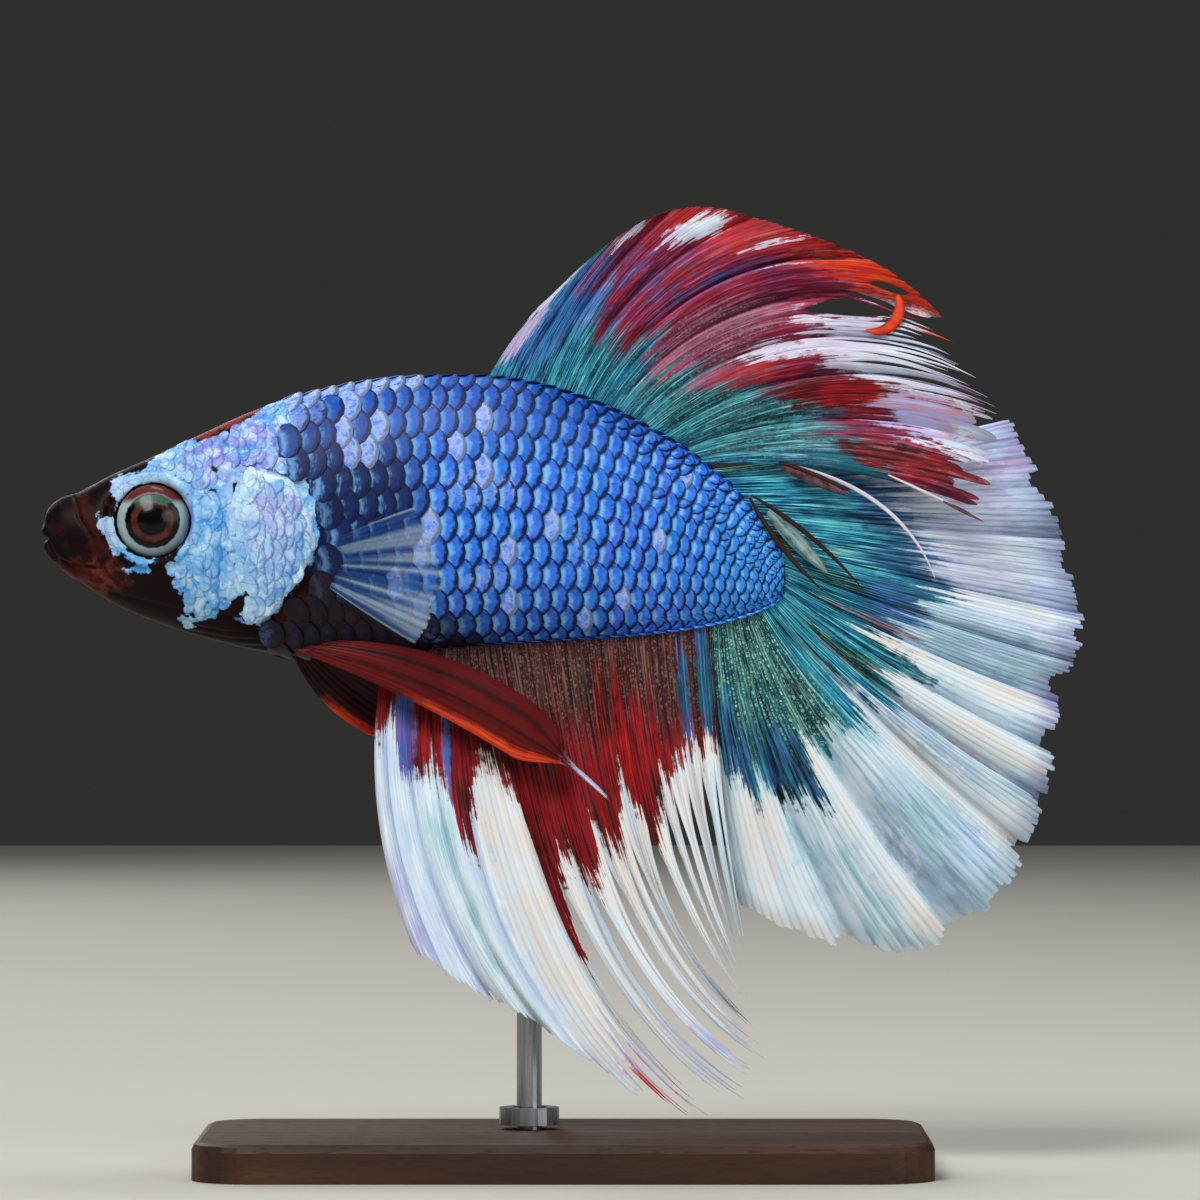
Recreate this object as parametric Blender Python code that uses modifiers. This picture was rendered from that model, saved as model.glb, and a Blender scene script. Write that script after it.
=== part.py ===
"""Male halfmoon betta fish (Betta splendens), swimming pose, as a life-size still model on a display stand.

Run with: blender --background --python part.py
Lengths below are millimetres. The fish is drawn in its own frame, x back from the snout tip and z up from it,
with y across the body, left side at -y; placed() moves that frame over the stand, whose underside is z = 0.
"""

import math

import bmesh
import bpy
import numpy as np

MM = 0.001

# Fish, in the fish's own frame
SNOUT_AT = (-32.8, 0.0, 40.4)  # where the snout tip stands over the middle of the base
GAP = 0.3  # clearance between neighbouring pieces
FIN_THICKNESS = 0.5
ROOT_DEPTH = 0.8  # how deep a fin starts inside the body before it is trimmed to the skin
WIDEST_AT = 0.47  # height of the widest point in a body section, as a share of its depth
FLANK_POWER = 1.06  # above 1 the back and belly are a little sharper than an ellipse
HALF_LENGTH = 23.0  # half the fish without its tail fin
LEAST_SHARE = 0.15  # an inner core keeps this share of a section, however thick the skin

# Body outline: distance back from the snout, back line, belly line, half width
BODY_STATIONS = (
    (0.0, -0.1, -0.1, 0.0),
    (0.25, 1.1, -1.4, 1.0),
    (1.1, 1.9, -2.3, 1.6),
    (2.3, 2.3, -3.3, 2.0),
    (4.2, 3.3, -4.6, 2.5),
    (7.1, 4.6, -5.9, 3.1),
    (9.9, 5.9, -6.8, 3.5),
    (13.0, 7.3, -7.6, 3.9),
    (16.8, 8.6, -8.2, 4.1),
    (20.6, 9.4, -8.0, 4.1),
    (25.0, 9.7, -7.6, 3.9),
    (29.4, 9.5, -7.3, 3.6),
    (33.8, 8.4, -7.0, 3.0),
    (37.6, 6.7, -6.7, 2.4),
    (40.8, 4.8, -6.3, 1.8),
    (43.3, 2.8, -5.8, 1.3),
    (45.3, 0.5, -5.2, 0.9),
    (46.5, -1.4, -4.5, 0.6),
    (47.1, -3.0, -3.0, 0.0),
)

# Where the whole body is parted, as (x, z) points of a side view
GILL_LINE = (
    (13.8, 20.0),
    (13.8, 7.6),
    (16.0, 3.4),
    (17.3, 0.8),
    (17.3, -1.6),
    (16.2, -3.6),
    (14.4, -5.7),
    (14.8, -15.0),
)
JAW_LINE = (
    (-2.0, 1.4),
    (0.4, 1.0),
    (1.4, 0.1),
    (2.3, -1.0),
    (3.2, -2.1),
    (4.4, -3.2),
    (5.4, -4.4),
    (5.8, -9.0),
)
GILL_COVER = (
    (9.9, 3.0),
    (12.6, 3.8),
    (15.6, 3.0),
    (16.9, 0.8),
    (16.9, -1.6),
    (15.8, -3.6),
    (13.9, -5.6),
    (11.2, -4.6),
    (9.7, -2.6),
)
GILL_COVER_THICKNESS = 0.9
STALK_FROM = 38.6  # the tail stalk starts here
CUT_FRONT, CUT_REAR = -6.0, 60.0  # parting shapes run past the fish: forward and back,
CUT_TOP, CUT_BOTTOM, CUT_SIDE = 20.0, -15.0, 9.0  # up, down and to each side
JAW_CORNER = 1.4  # height of the jaw's parting shape in front of the lips
COVER_INNER = 0.6  # a gill cover's parting shape starts this far from the middle

EYE_AT = (7.05, 2.05, 0.45)  # centre of the left eyeball: x back, y out from the middle, z up
EYE_RADIUS = 2.3
EYE_SOCKET = EYE_RADIUS + GAP
EYE_FLATNESS = 0.62  # depth of the eyeball as a share of its height

# Fins: each guide ray is its root (x, z), heading at the root and at the tip in degrees above
# straight back, length, and how late it bends (1 bends evenly, 2 mostly near the tip). A root
# height of None sits on the back or belly line. A notch is its place across the rays from 0 to 1,
# its half width and its depth as a share of the ray. Pleats are their height, their number across
# the fin and where they start.
DORSAL_RAYS = (
    (27.7, None, 62, 49, 6.2, 1.0),
    (29.6, None, 68, 47, 10.8, 1.0),
    (31.6, None, 70, 37, 15.1, 1.0),
    (33.6, None, 67, 9, 18.6, 1.0),
    (35.3, None, 60, -23, 23.9, 1.0),
    (37.4, None, 46, -30, 23.4, 1.0),
    (39.2, None, 30, -23, 22.0, 1.0),
    (40.8, None, 4, -22, 18.6, 1.0),
)
DORSAL_NOTCHES = (
    (0.25, 0.04, 0.05),
    (0.38, 0.04, 0.05),
    (0.62, 0.035, 0.22),
    (0.71, 0.03, 0.12),
    (0.8, 0.03, 0.2),
    (0.93, 0.04, 0.22),
)
DORSAL_PLEATS = (0.55, 3.5, 0.1)
DORSAL_LEAN = -2.9  # how far its rear tip leans to the left
CAUDAL_RAYS = (
    (40.9, 3.6, 5, 14, 20.6, 1.0),
    (43.2, 1.4, -5, -2, 21.0, 1.0),
    (45.3, -1.2, -15, -12, 21.0, 1.0),
    (45.9, -2.6, -28, -17, 20.0, 1.0),
    (45.8, -3.5, -44, -27, 21.8, 1.0),
    (45.1, -4.2, -54, -42, 24.2, 1.0),
    (43.9, -4.8, -76, -53, 24.6, 1.0),
    (42.5, -5.3, -93, -76, 18.6, 1.0),
)
CAUDAL_NOTCHES = (
    (0.09, 0.04, 0.04),
    (0.2, 0.04, 0.05),
    (0.31, 0.04, 0.04),
    (0.43, 0.04, 0.06),
    (0.53, 0.04, 0.06),
    (0.62, 0.03, 0.06),
    (0.7, 0.035, 0.1),
    (0.81, 0.03, 0.05),
    (0.9, 0.035, 0.06),
)
CAUDAL_PLEATS = (0.8, 4.5, 0.2)
CAUDAL_UPPER_LEAN, CAUDAL_LOWER_LEAN = 2.0, 2.3  # how far its top and bottom lean to the right
ANAL_RAYS = (
    (21.7, None, -103, -67, 19.9, 1.0),
    (22.8, None, -101, -58, 23.0, 1.0),
    (25.4, None, -97, -48, 27.6, 1.1),
    (27.8, None, -81, -36, 34.2, 2.0),
    (31.6, None, -81, -29, 32.4, 2.0),
    (35.1, None, -84, -38, 28.4, 2.0),
    (38.2, None, -85, -62, 22.9, 1.5),
    (41.4, None, -87, -79, 20.8, 1.0),
)
ANAL_NOTCHES = (
    (0.07, 0.03, 0.06),
    (0.2, 0.03, 0.07),
    (0.34, 0.03, 0.08),
    (0.48, 0.03, 0.3),
    (0.56, 0.03, 0.24),
    (0.65, 0.03, 0.3),
    (0.74, 0.03, 0.26),
    (0.83, 0.03, 0.22),
    (0.92, 0.03, 0.12),
)
ANAL_PLEATS = (0.7, 4.0, 0.55)
ANAL_FRONT_LEAN, ANAL_REAR_LEAN = -0.7, -1.0  # how far it leans to the left, and its rear more
LEFT_PELVIC_RAYS = (
    (15.9, -7.7, -20, -37, 21.9, 1.0),
    (16.6, -7.4, -9, -45, 22.0, 1.0),
    (17.4, -7.1, 4, -57, 21.9, 1.0),
)
RIGHT_PELVIC_RAYS = (
    (15.4, -7.3, -72, -6, 11.2, 1.0),
    (16.2, -7.3, -46, -24, 11.0, 1.0),
    (17.0, -7.2, -22, -50, 10.8, 1.0),
)
PELVIC_ROOT_OUT = 1.6  # a pelvic fin's root stands this far from the middle
LEFT_PELVIC_SPREAD, RIGHT_PELVIC_SPREAD = 2.0, 2.2  # and its tip this much further
LEFT_PELVIC_FOLD, RIGHT_PELVIC_FOLD = 0.5, 0.4
PECTORAL_RAYS = (
    (17.9, -1.0, 26, 18, 6.0, 1.0),
    (18.2, -2.4, -4, -8, 7.2, 1.0),
    (18.2, -3.8, -36, -30, 6.4, 1.0),
)
PECTORAL_NOTCHES = ((0.33, 0.12, 0.08), (0.67, 0.12, 0.08))
PECTORAL_ROOT_OUT, PECTORAL_SPREAD = 3.6, 2.9  # from the middle, and further at the tip
PECTORAL_FOLD = 0.2

# Stand
BASE_LENGTH, BASE_DEPTH, BASE_HEIGHT = 46.0, 26.0, 2.4
BASE_CORNER, BASE_EDGE = 4.0, 0.5
STEEL_SIDES = 20  # flats round the rod and the collar
ROD_AT = (-2.2, 2.5)  # clear of the anal fin, on the fish's right
ROD_RADIUS = 0.8
ROD_FOOT = 0.7  # the rod starts this far up, inside the base
ROD_GRIP = 3.2  # how far the rod runs into the belly
COLLAR_RADIUS, COLLAR_HEIGHT = 1.9, 1.1


def clear_scene():
    for obj in list(bpy.data.objects):
        bpy.data.objects.remove(obj, do_unlink=True)


def collection(name):
    made = bpy.data.collections.new(name)
    bpy.context.scene.collection.children.link(made)
    return made


def placed(points):
    """Points of the fish's own frame, in millimetres, as metres over the stand."""
    return (np.asarray(points, float) + SNOUT_AT) * MM


# ---------------------------------------------------------------- curves and surfaces


def smooth_rows(rows, at):
    """Catmull-Rom through the rows of a table, read at row numbers such as 2.5."""
    rows = np.asarray(rows, float)
    at = np.clip(np.asarray(at, float), 0, len(rows) - 1)
    k = np.minimum(at.astype(int), len(rows) - 2)
    t = (at - k)[..., None]
    before, start = rows[np.maximum(k - 1, 0)], rows[k]
    end, after = rows[k + 1], rows[np.minimum(k + 2, len(rows) - 1)]
    return 0.5 * (
        2 * start
        + (end - before) * t
        + (2 * before - 5 * start + 4 * end - after) * t**2
        + (3 * start - before - 3 * end + after) * t**3
    )


def offset_size(size, grow):
    """A half width or half height with the skin moved out by grow, never turned inside out."""
    return np.maximum(size + grow, LEAST_SHARE * size)


def body_surface(along, around, grow=0.0):
    """The skin: along runs 0 to 1 from snout to tail, around is the angle up from the left flank."""
    x, back, belly, half = np.moveaxis(smooth_rows(BODY_STATIONS, along * (len(BODY_STATIONS) - 1)), -1, 0)
    middle = belly + WIDEST_AT * (back - belly)
    rise, reach = np.sin(around), np.cos(around)
    height = offset_size(np.where(rise > 0, back - middle, middle - belly), grow)
    y = -offset_size(half, grow) * np.sign(reach) * np.abs(reach) ** FLANK_POWER
    shift = grow * np.clip(x / HALF_LENGTH - 1, -1, 1)
    return np.stack([x + shift, y, middle + height * rise], axis=-1)


def station_at(x):
    """Row number of BODY_STATIONS, with its fraction, at a distance back from the snout."""
    return np.interp(x, [s[0] for s in BODY_STATIONS], range(len(BODY_STATIONS)))


def root_height(x, above):
    """A fin's root: ROOT_DEPTH inside the back line, or inside the belly line."""
    _, back, belly, _ = smooth_rows(BODY_STATIONS, station_at(x))
    return float(back - ROOT_DEPTH if above else belly + ROOT_DEPTH)


def guide_table(rays, above=True):
    return [(x, root_height(x, above) if z is None else z, *rest) for x, z, *rest in rays]


def ray_points(guides, u, v, steps=48):
    """(x, z) of a fin at u across the rays and v along them, both arrays of one shape."""
    x, z, start, finish, length, late = np.moveaxis(smooth_rows(guides, u * (len(guides) - 1)), -1, 0)
    at_x, at_z = np.zeros_like(x), np.zeros_like(z)
    for k in range(steps):
        share = (k + 0.5) / steps * v
        heading = np.radians(start + (finish - start) * share**late)
        at_x += np.cos(heading) * length * v / steps
        at_z += np.sin(heading) * length * v / steps
    return x + at_x, z + at_z


# ---------------------------------------------------------------- fin shapes


def notched(u, notches):
    """How far the ray at u reaches, 1 being its full length."""
    reach = np.ones_like(u)
    for at, half_width, depth in notches:
        reach -= depth * np.clip(1 - np.abs(u - at) / half_width, 0, 1) ** 1.3
    return reach


def pleat(u, pleats):
    height, number, start = pleats
    return height * np.sin(2 * math.pi * (number * u + start))


def dorsal_sheet(u, v):
    reach = v * notched(u, DORSAL_NOTCHES)
    x, z = ray_points(guide_table(DORSAL_RAYS), u, reach)
    y = DORSAL_LEAN * u**1.5 * reach**1.15 + reach * pleat(u, DORSAL_PLEATS)
    return np.stack([x, y, z], axis=-1)


def caudal_sheet(u, v):
    reach = v * notched(u, CAUDAL_NOTCHES)
    x, z = ray_points(guide_table(CAUDAL_RAYS), u, reach)
    lean = CAUDAL_UPPER_LEAN * (1 - u) * reach**1.15 + CAUDAL_LOWER_LEAN * u**2 * reach**0.9
    y = lean + reach**1.2 * pleat(u, CAUDAL_PLEATS)
    return np.stack([x, y, z], axis=-1)


def anal_sheet(u, v):
    reach = v * notched(u, ANAL_NOTCHES)
    x, z = ray_points(guide_table(ANAL_RAYS, above=False), u, reach)
    lean = ANAL_FRONT_LEAN * reach + ANAL_REAR_LEAN * u**2 * reach**1.1
    y = lean + reach**1.2 * pleat(u, ANAL_PLEATS)
    return np.stack([x, y, z], axis=-1)


def pelvic_sheet(rays, side, spread, fold, early):
    def sheet(u, v):
        x, z = ray_points(rays, u, v)
        bent = fold * np.abs(2 * u - 1) * np.sin(math.pi * v)
        return np.stack([x, side * (PELVIC_ROOT_OUT + spread * v**early - bent), z], axis=-1)

    return sheet


def pectoral_sheet(side):
    def sheet(u, v):
        reach = v * notched(u, PECTORAL_NOTCHES)
        x, z = ray_points(PECTORAL_RAYS, u, reach)
        wave = PECTORAL_FOLD * np.sin(3 * math.pi * u)
        return np.stack([x, side * (PECTORAL_ROOT_OUT + (PECTORAL_SPREAD + wave) * reach), z], axis=-1)

    return sheet


# ---------------------------------------------------------------- Blender helpers


def material(name, colour, roughness, metallic=0.0):
    made = bpy.data.materials.new(name)
    made.use_nodes = True
    shader = made.node_tree.nodes["Principled BSDF"]
    shader.inputs["Base Color"].default_value = (*colour, 1)
    shader.inputs["Roughness"].default_value = roughness
    shader.inputs["Metallic"].default_value = metallic
    return made


def add_object(name, mesh, home, finish=None):
    obj = bpy.data.objects.new(name, mesh)
    home.objects.link(obj)
    if finish:
        mesh.materials.append(finish)
        mesh.shade_smooth()
        mesh.set_sharp_from_angle(angle=math.radians(35))
    return obj


def hide_as_helper(obj):
    obj.hide_render = True
    obj.display_type = "WIRE"
    return obj


def shaped_sphere(name, home, rings, segments, shape, finish=None):
    """A UV sphere whose points are moved by shape(along, around), with its poles at along 0 and 1."""
    bm = bmesh.new()
    bmesh.ops.create_uvsphere(bm, u_segments=segments, v_segments=rings, radius=1.0)
    co = np.array([v.co for v in bm.verts])
    along = np.arccos(np.clip(co[:, 2], -1, 1)) / math.pi
    around = np.arctan2(co[:, 1], co[:, 0])
    for vert, spot in zip(bm.verts, placed(shape(along, around))):
        vert.co = spot
    bm.normal_update()
    bmesh.ops.recalc_face_normals(bm, faces=bm.faces)
    mesh = bpy.data.meshes.new(name)
    bm.to_mesh(mesh)
    bm.free()
    return add_object(name, mesh, home, finish)


def side_prism(name, home, outline, y_from=-CUT_SIDE, y_to=CUT_SIDE):
    """A flat outline of the side view, pulled out across the fish from y_from to y_to."""
    curve = bpy.data.curves.new(name, "CURVE")
    curve.dimensions = "2D"
    curve.fill_mode = "BOTH"
    curve.extrude = (y_to - y_from) / 2 * MM
    spline = curve.splines.new("POLY")
    spline.points.add(len(outline) - 1)
    for point, (x, z) in zip(spline.points, outline):
        point.co = ((x + SNOUT_AT[0]) * MM, (z + SNOUT_AT[2]) * MM, 0, 1)
    spline.use_cyclic_u = True
    flat = bpy.data.objects.new(name + "_outline", curve)
    home.objects.link(flat)
    flat.rotation_euler = (math.radians(90), 0, 0)
    flat.location = (0, (y_from + y_to) / 2 * MM, 0)
    bpy.context.view_layer.update()
    evaluated = flat.evaluated_get(bpy.context.evaluated_depsgraph_get())
    mesh = bpy.data.meshes.new_from_object(evaluated)
    mesh.transform(flat.matrix_world)
    bpy.data.objects.remove(flat, do_unlink=True)
    bm = bmesh.new()
    bm.from_mesh(mesh)
    bmesh.ops.remove_doubles(bm, verts=bm.verts, dist=1e-6)
    bm.normal_update()
    bmesh.ops.recalc_face_normals(bm, faces=bm.faces)
    bm.to_mesh(mesh)
    bm.free()
    return hide_as_helper(add_object(name, mesh, home))


def boolean(obj, operation, other):
    modifier = obj.modifiers.new(f"{operation.title()} {other.name}", "BOOLEAN")
    modifier.solver = "EXACT"
    modifier.operation = operation
    modifier.object = other
    return obj


def cylinder(name, home, radius, z_from, z_to, finish=None):
    """An upright cylinder on the rod's axis."""
    bm = bmesh.new()
    size = {"radius1": radius * MM, "radius2": radius * MM, "depth": (z_to - z_from) * MM}
    bmesh.ops.create_cone(bm, cap_ends=True, segments=STEEL_SIDES, **size)
    bmesh.ops.translate(bm, verts=bm.verts, vec=(ROD_AT[0] * MM, ROD_AT[1] * MM, (z_from + z_to) / 2 * MM))
    mesh = bpy.data.meshes.new(name)
    bm.to_mesh(mesh)
    bm.free()
    return add_object(name, mesh, home, finish)


# ---------------------------------------------------------------- pieces


def outline_through(points, steps=3):
    """A smooth line through the points, with this many steps between each two."""
    return [tuple(p) for p in smooth_rows(points, np.linspace(0, len(points) - 1, (len(points) - 1) * steps + 1))]


def behind(x):
    """The side-view outline of everything behind x."""
    return [(x, CUT_BOTTOM), (CUT_REAR, CUT_BOTTOM), (CUT_REAR, CUT_TOP), (x, CUT_TOP)]


def shifted(points, dx, dz=0.0):
    return [(x + dx, z + dz) for x, z in points]


def grown(points, by):
    """An outline moved out from its own middle, so that it leaves a gap all round."""
    middle = np.mean(points, axis=0)
    out = []
    for point in points:
        away = np.asarray(point) - middle
        out.append(tuple(np.asarray(point) + away / np.linalg.norm(away) * by))
    return out


def build_body(parts, cutters, skin, cover_finish, eye_finish):
    """Head, lower jaw, gill covers, eyes, trunk and tail stalk, parted from one whole body."""
    whole = hide_as_helper(shaped_sphere("whole_body", cutters, 32, 20, body_surface))
    core = hide_as_helper(
        shaped_sphere("inner_core", cutters, 24, 16, lambda a, t: body_surface(a, t, -GILL_COVER_THICKNESS))
    )
    deep_core = hide_as_helper(
        shaped_sphere("deep_core", cutters, 24, 16, lambda a, t: body_surface(a, t, -GILL_COVER_THICKNESS - GAP))
    )
    gill_line = outline_through(GILL_LINE)
    jaw_line = outline_through(JAW_LINE)
    front = [(CUT_FRONT, CUT_BOTTOM), (CUT_FRONT, CUT_TOP)]
    head_zone = side_prism("head_zone", cutters, gill_line + front)
    head_zone_wide = side_prism("head_zone_wide", cutters, shifted(gill_line, GAP) + front)
    chin = [(CUT_FRONT, jaw_line[-1][1]), (CUT_FRONT, JAW_CORNER)]
    jaw_zone = side_prism("jaw_zone", cutters, jaw_line + chin)
    jaw_zone_wide = side_prism("jaw_zone_wide", cutters, shifted(jaw_line, GAP * 0.8, GAP * 0.8) + chin)
    stalk_zone = side_prism("stalk_zone", cutters, behind(STALK_FROM))
    stalk_zone_wide = side_prism("stalk_zone_wide", cutters, behind(STALK_FROM - GAP))

    head = add_object("head", whole.data.copy(), parts, skin)
    boolean(head, "INTERSECT", head_zone)
    boolean(head, "DIFFERENCE", jaw_zone_wide)
    jaw = add_object("lower_jaw", whole.data.copy(), parts, skin)
    boolean(jaw, "INTERSECT", jaw_zone)
    trunk = add_object("trunk", whole.data.copy(), parts, skin)
    boolean(trunk, "DIFFERENCE", head_zone_wide)
    boolean(trunk, "DIFFERENCE", stalk_zone_wide)
    stalk = add_object("tail_stalk", whole.data.copy(), parts, skin)
    boolean(stalk, "INTERSECT", stalk_zone)

    cover_outline = outline_through(GILL_COVER + GILL_COVER[:1])[:-1]
    for side, name in ((-1, "left"), (1, "right")):
        y_from, y_to = sorted((side * COVER_INNER, side * CUT_SIDE))
        cover_zone = side_prism(f"cover_zone_{name}", cutters, cover_outline, y_from, y_to)
        cover = add_object(f"gill_cover_{name}", whole.data.copy(), parts, cover_finish)
        boolean(cover, "INTERSECT", cover_zone)
        boolean(cover, "DIFFERENCE", core)
        pocket = side_prism(f"cover_pocket_{name}", cutters, grown(cover_outline, GAP), y_from, y_to)
        boolean(pocket, "DIFFERENCE", deep_core)
        boolean(head, "DIFFERENCE", pocket)

        eyeball(f"eye_{name}", parts, side, EYE_RADIUS, eye_finish)
        socket = hide_as_helper(eyeball(f"eye_socket_{name}", cutters, side, EYE_SOCKET))
        boolean(head, "DIFFERENCE", socket)
    return trunk


def eyeball(name, home, side, radius, finish=None):
    """A globe whose poles face out, so that its rings run round the pupil."""

    def globe(along, around):
        ring = radius * np.sin(math.pi * along)
        x = EYE_AT[0] + ring * np.cos(around)
        z = EYE_AT[2] + ring * np.sin(around)
        y = side * (EYE_AT[1] + EYE_FLATNESS * radius * np.cos(math.pi * along))
        return np.stack([x, y, z], axis=-1)

    return shaped_sphere(name, home, 9, 16, globe, finish)


def fin(name, home, sheet, across, along, cutter, finish):
    """A grid shaped by sheet(u, v), given its thickness and trimmed clear of the body."""
    bm = bmesh.new()
    bmesh.ops.create_grid(bm, x_segments=across, y_segments=along, size=0.5)
    co = np.array([v.co for v in bm.verts]) + 0.5
    for vert, spot in zip(bm.verts, placed(sheet(co[:, 0], co[:, 1]))):
        vert.co = spot
    mesh = bpy.data.meshes.new(name)
    bm.to_mesh(mesh)
    bm.free()
    obj = add_object(name, mesh, home, finish)
    shell = obj.modifiers.new("Thickness", "SOLIDIFY")
    shell.thickness = FIN_THICKNESS * MM
    shell.offset = 0
    return boolean(obj, "DIFFERENCE", cutter)


def build_fins(parts, cutters, reds, blues):
    clear = hide_as_helper(shaped_sphere("clearance_body", cutters, 24, 16, lambda a, t: body_surface(a, t, GAP)))
    fin("dorsal_fin", parts, dorsal_sheet, 36, 8, clear, blues)
    fin("caudal_fin", parts, caudal_sheet, 40, 8, clear, blues)
    fin("anal_fin", parts, anal_sheet, 34, 9, clear, reds)
    left = pelvic_sheet(LEFT_PELVIC_RAYS, -1, LEFT_PELVIC_SPREAD, LEFT_PELVIC_FOLD, 0.6)
    fin("pelvic_fin_left", parts, left, 4, 11, clear, reds)
    right = pelvic_sheet(RIGHT_PELVIC_RAYS, 1, RIGHT_PELVIC_SPREAD, RIGHT_PELVIC_FOLD, 0.7)
    fin("pelvic_fin_right", parts, right, 4, 9, clear, reds)
    fin("pectoral_fin_left", parts, pectoral_sheet(-1), 9, 4, clear, reds)
    fin("pectoral_fin_right", parts, pectoral_sheet(1), 9, 4, clear, reds)


def build_stand(parts, cutters, trunk, wood, steel):
    bm = bmesh.new()
    bmesh.ops.create_cube(bm, size=1.0)
    bmesh.ops.scale(bm, verts=bm.verts, vec=(BASE_LENGTH * MM, BASE_DEPTH * MM, BASE_HEIGHT * MM))
    bmesh.ops.translate(bm, verts=bm.verts, vec=(0, 0, BASE_HEIGHT / 2 * MM))
    corners = [e for e in bm.edges if abs(e.verts[0].co.z - e.verts[1].co.z) > BASE_HEIGHT / 2 * MM]
    bmesh.ops.bevel(bm, geom=corners, offset=BASE_CORNER * MM, segments=6, profile=0.5, affect="EDGES")
    rim = [e for e in bm.edges if all(v.co.z > 0.99 * BASE_HEIGHT * MM for v in e.verts) and e.is_manifold]
    rim = [e for e in rim if any(abs(f.normal.z) < 0.5 for f in e.link_faces)]
    bmesh.ops.bevel(bm, geom=rim, offset=BASE_EDGE * MM, segments=2, profile=0.5, affect="EDGES")
    mesh = bpy.data.meshes.new("stand_base")
    bm.to_mesh(mesh)
    bm.free()
    base = add_object("stand_base", mesh, parts, wood)

    belly = belly_height(*ROD_AT)
    rod_top = belly + ROD_GRIP
    cylinder("stand_rod", parts, ROD_RADIUS, ROD_FOOT, rod_top, steel)
    bore = hide_as_helper(cylinder("rod_bore", cutters, ROD_RADIUS + GAP, ROD_FOOT - GAP, rod_top + GAP))
    boolean(base, "DIFFERENCE", bore)
    boolean(trunk, "DIFFERENCE", bore)
    collar_foot = BASE_HEIGHT + GAP
    collar = cylinder("stand_collar", parts, COLLAR_RADIUS, collar_foot, collar_foot + COLLAR_HEIGHT, steel)
    boolean(collar, "DIFFERENCE", bore)


def belly_height(x, y):
    """Height over the floor, in millimetres, of the underside of the body over a point of the base."""
    _, back, belly, half = smooth_rows(BODY_STATIONS, station_at(x - SNOUT_AT[0]))
    middle = belly + WIDEST_AT * (back - belly)
    return float(SNOUT_AT[2] + middle - (middle - belly) * math.sqrt(1 - min(1, (y / half) ** 2)))


def main():
    clear_scene()
    parts = collection("betta_fish")
    cutters = collection("cutters")
    skin = material("scaled_skin", (0.05, 0.14, 0.6), 0.35)
    cover = material("gill_cover_skin", (0.35, 0.6, 0.8), 0.35)
    eye = material("eyeball", (0.02, 0.015, 0.015), 0.1)
    reds = material("red_white_fin", (0.45, 0.03, 0.03), 0.45)
    blues = material("blue_white_fin", (0.1, 0.4, 0.5), 0.45)
    wood = material("stained_walnut", (0.05, 0.03, 0.02), 0.5)
    steel = material("brushed_steel", (0.6, 0.6, 0.6), 0.35, metallic=1.0)
    trunk = build_body(parts, cutters, skin, cover, eye)
    build_fins(parts, cutters, reds, blues)
    build_stand(parts, cutters, trunk, wood, steel)


main()
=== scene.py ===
"""Looks of a male halfmoon betta fish, held over a walnut base as a still, life-size display model.

Laid out as an add-on and run as a script. Each operator makes one piece or a group of like pieces round the
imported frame, the panel in the 3D view's sidebar lists them, and main() runs them all.
Shapes are worked out in the fish's own frame in millimetres: x back from the snout tip, z up from it, and y
across the body with the left side at -y. placed() takes them to the frame's metres.
"""

import math
from typing import NamedTuple

import bpy
import numpy as np
from bpy.props import FloatProperty, FloatVectorProperty, IntProperty, PointerProperty
from bpy.types import Operator, Panel, PropertyGroup
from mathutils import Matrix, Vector


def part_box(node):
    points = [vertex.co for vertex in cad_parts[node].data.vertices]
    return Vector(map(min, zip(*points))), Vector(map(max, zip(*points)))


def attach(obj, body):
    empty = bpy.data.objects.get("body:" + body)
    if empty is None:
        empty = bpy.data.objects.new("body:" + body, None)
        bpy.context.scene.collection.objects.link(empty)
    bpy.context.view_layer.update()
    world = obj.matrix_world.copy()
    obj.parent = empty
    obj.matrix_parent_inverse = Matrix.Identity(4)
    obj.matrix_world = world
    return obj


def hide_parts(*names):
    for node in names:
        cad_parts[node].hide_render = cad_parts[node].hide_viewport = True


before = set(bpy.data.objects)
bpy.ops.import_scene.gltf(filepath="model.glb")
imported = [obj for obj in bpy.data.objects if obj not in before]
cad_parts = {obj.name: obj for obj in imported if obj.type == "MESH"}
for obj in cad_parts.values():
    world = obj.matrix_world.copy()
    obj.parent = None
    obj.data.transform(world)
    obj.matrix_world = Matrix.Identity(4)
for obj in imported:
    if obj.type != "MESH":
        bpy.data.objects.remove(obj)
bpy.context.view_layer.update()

bl_info = {
    "name": "Betta Fish Model",
    "version": (1, 0, 0),
    "blender": (4, 5, 0),
    "location": "3D View > Sidebar > Betta",
    "description": "Skin, scales, fins and stage of a life-size male betta on a display stand",
    "category": "Object",
}

MM = 0.001

# ---------------------------------------------------------------- the fish's own frame

EYE_AT = (7.05, 2.05, 0.45)  # centre of the left eyeball from the snout tip: back, out and up
EYE_RADIUS = 2.3
EYE_DEPTH = 1.34  # the eyeball's half depth across the body
CORNEA = 0.14  # how far the cornea bulges past it


def snout_place():
    """Where the snout tip stands in the frame, in millimetres, worked out from the eyes."""
    eye_low, eye_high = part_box("eye_left")
    return np.array((eye_low.x + eye_high.x, 0, eye_low.z + eye_high.z)) / 2 / MM - (EYE_AT[0], 0, EYE_AT[2])


SNOUT = snout_place()

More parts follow.
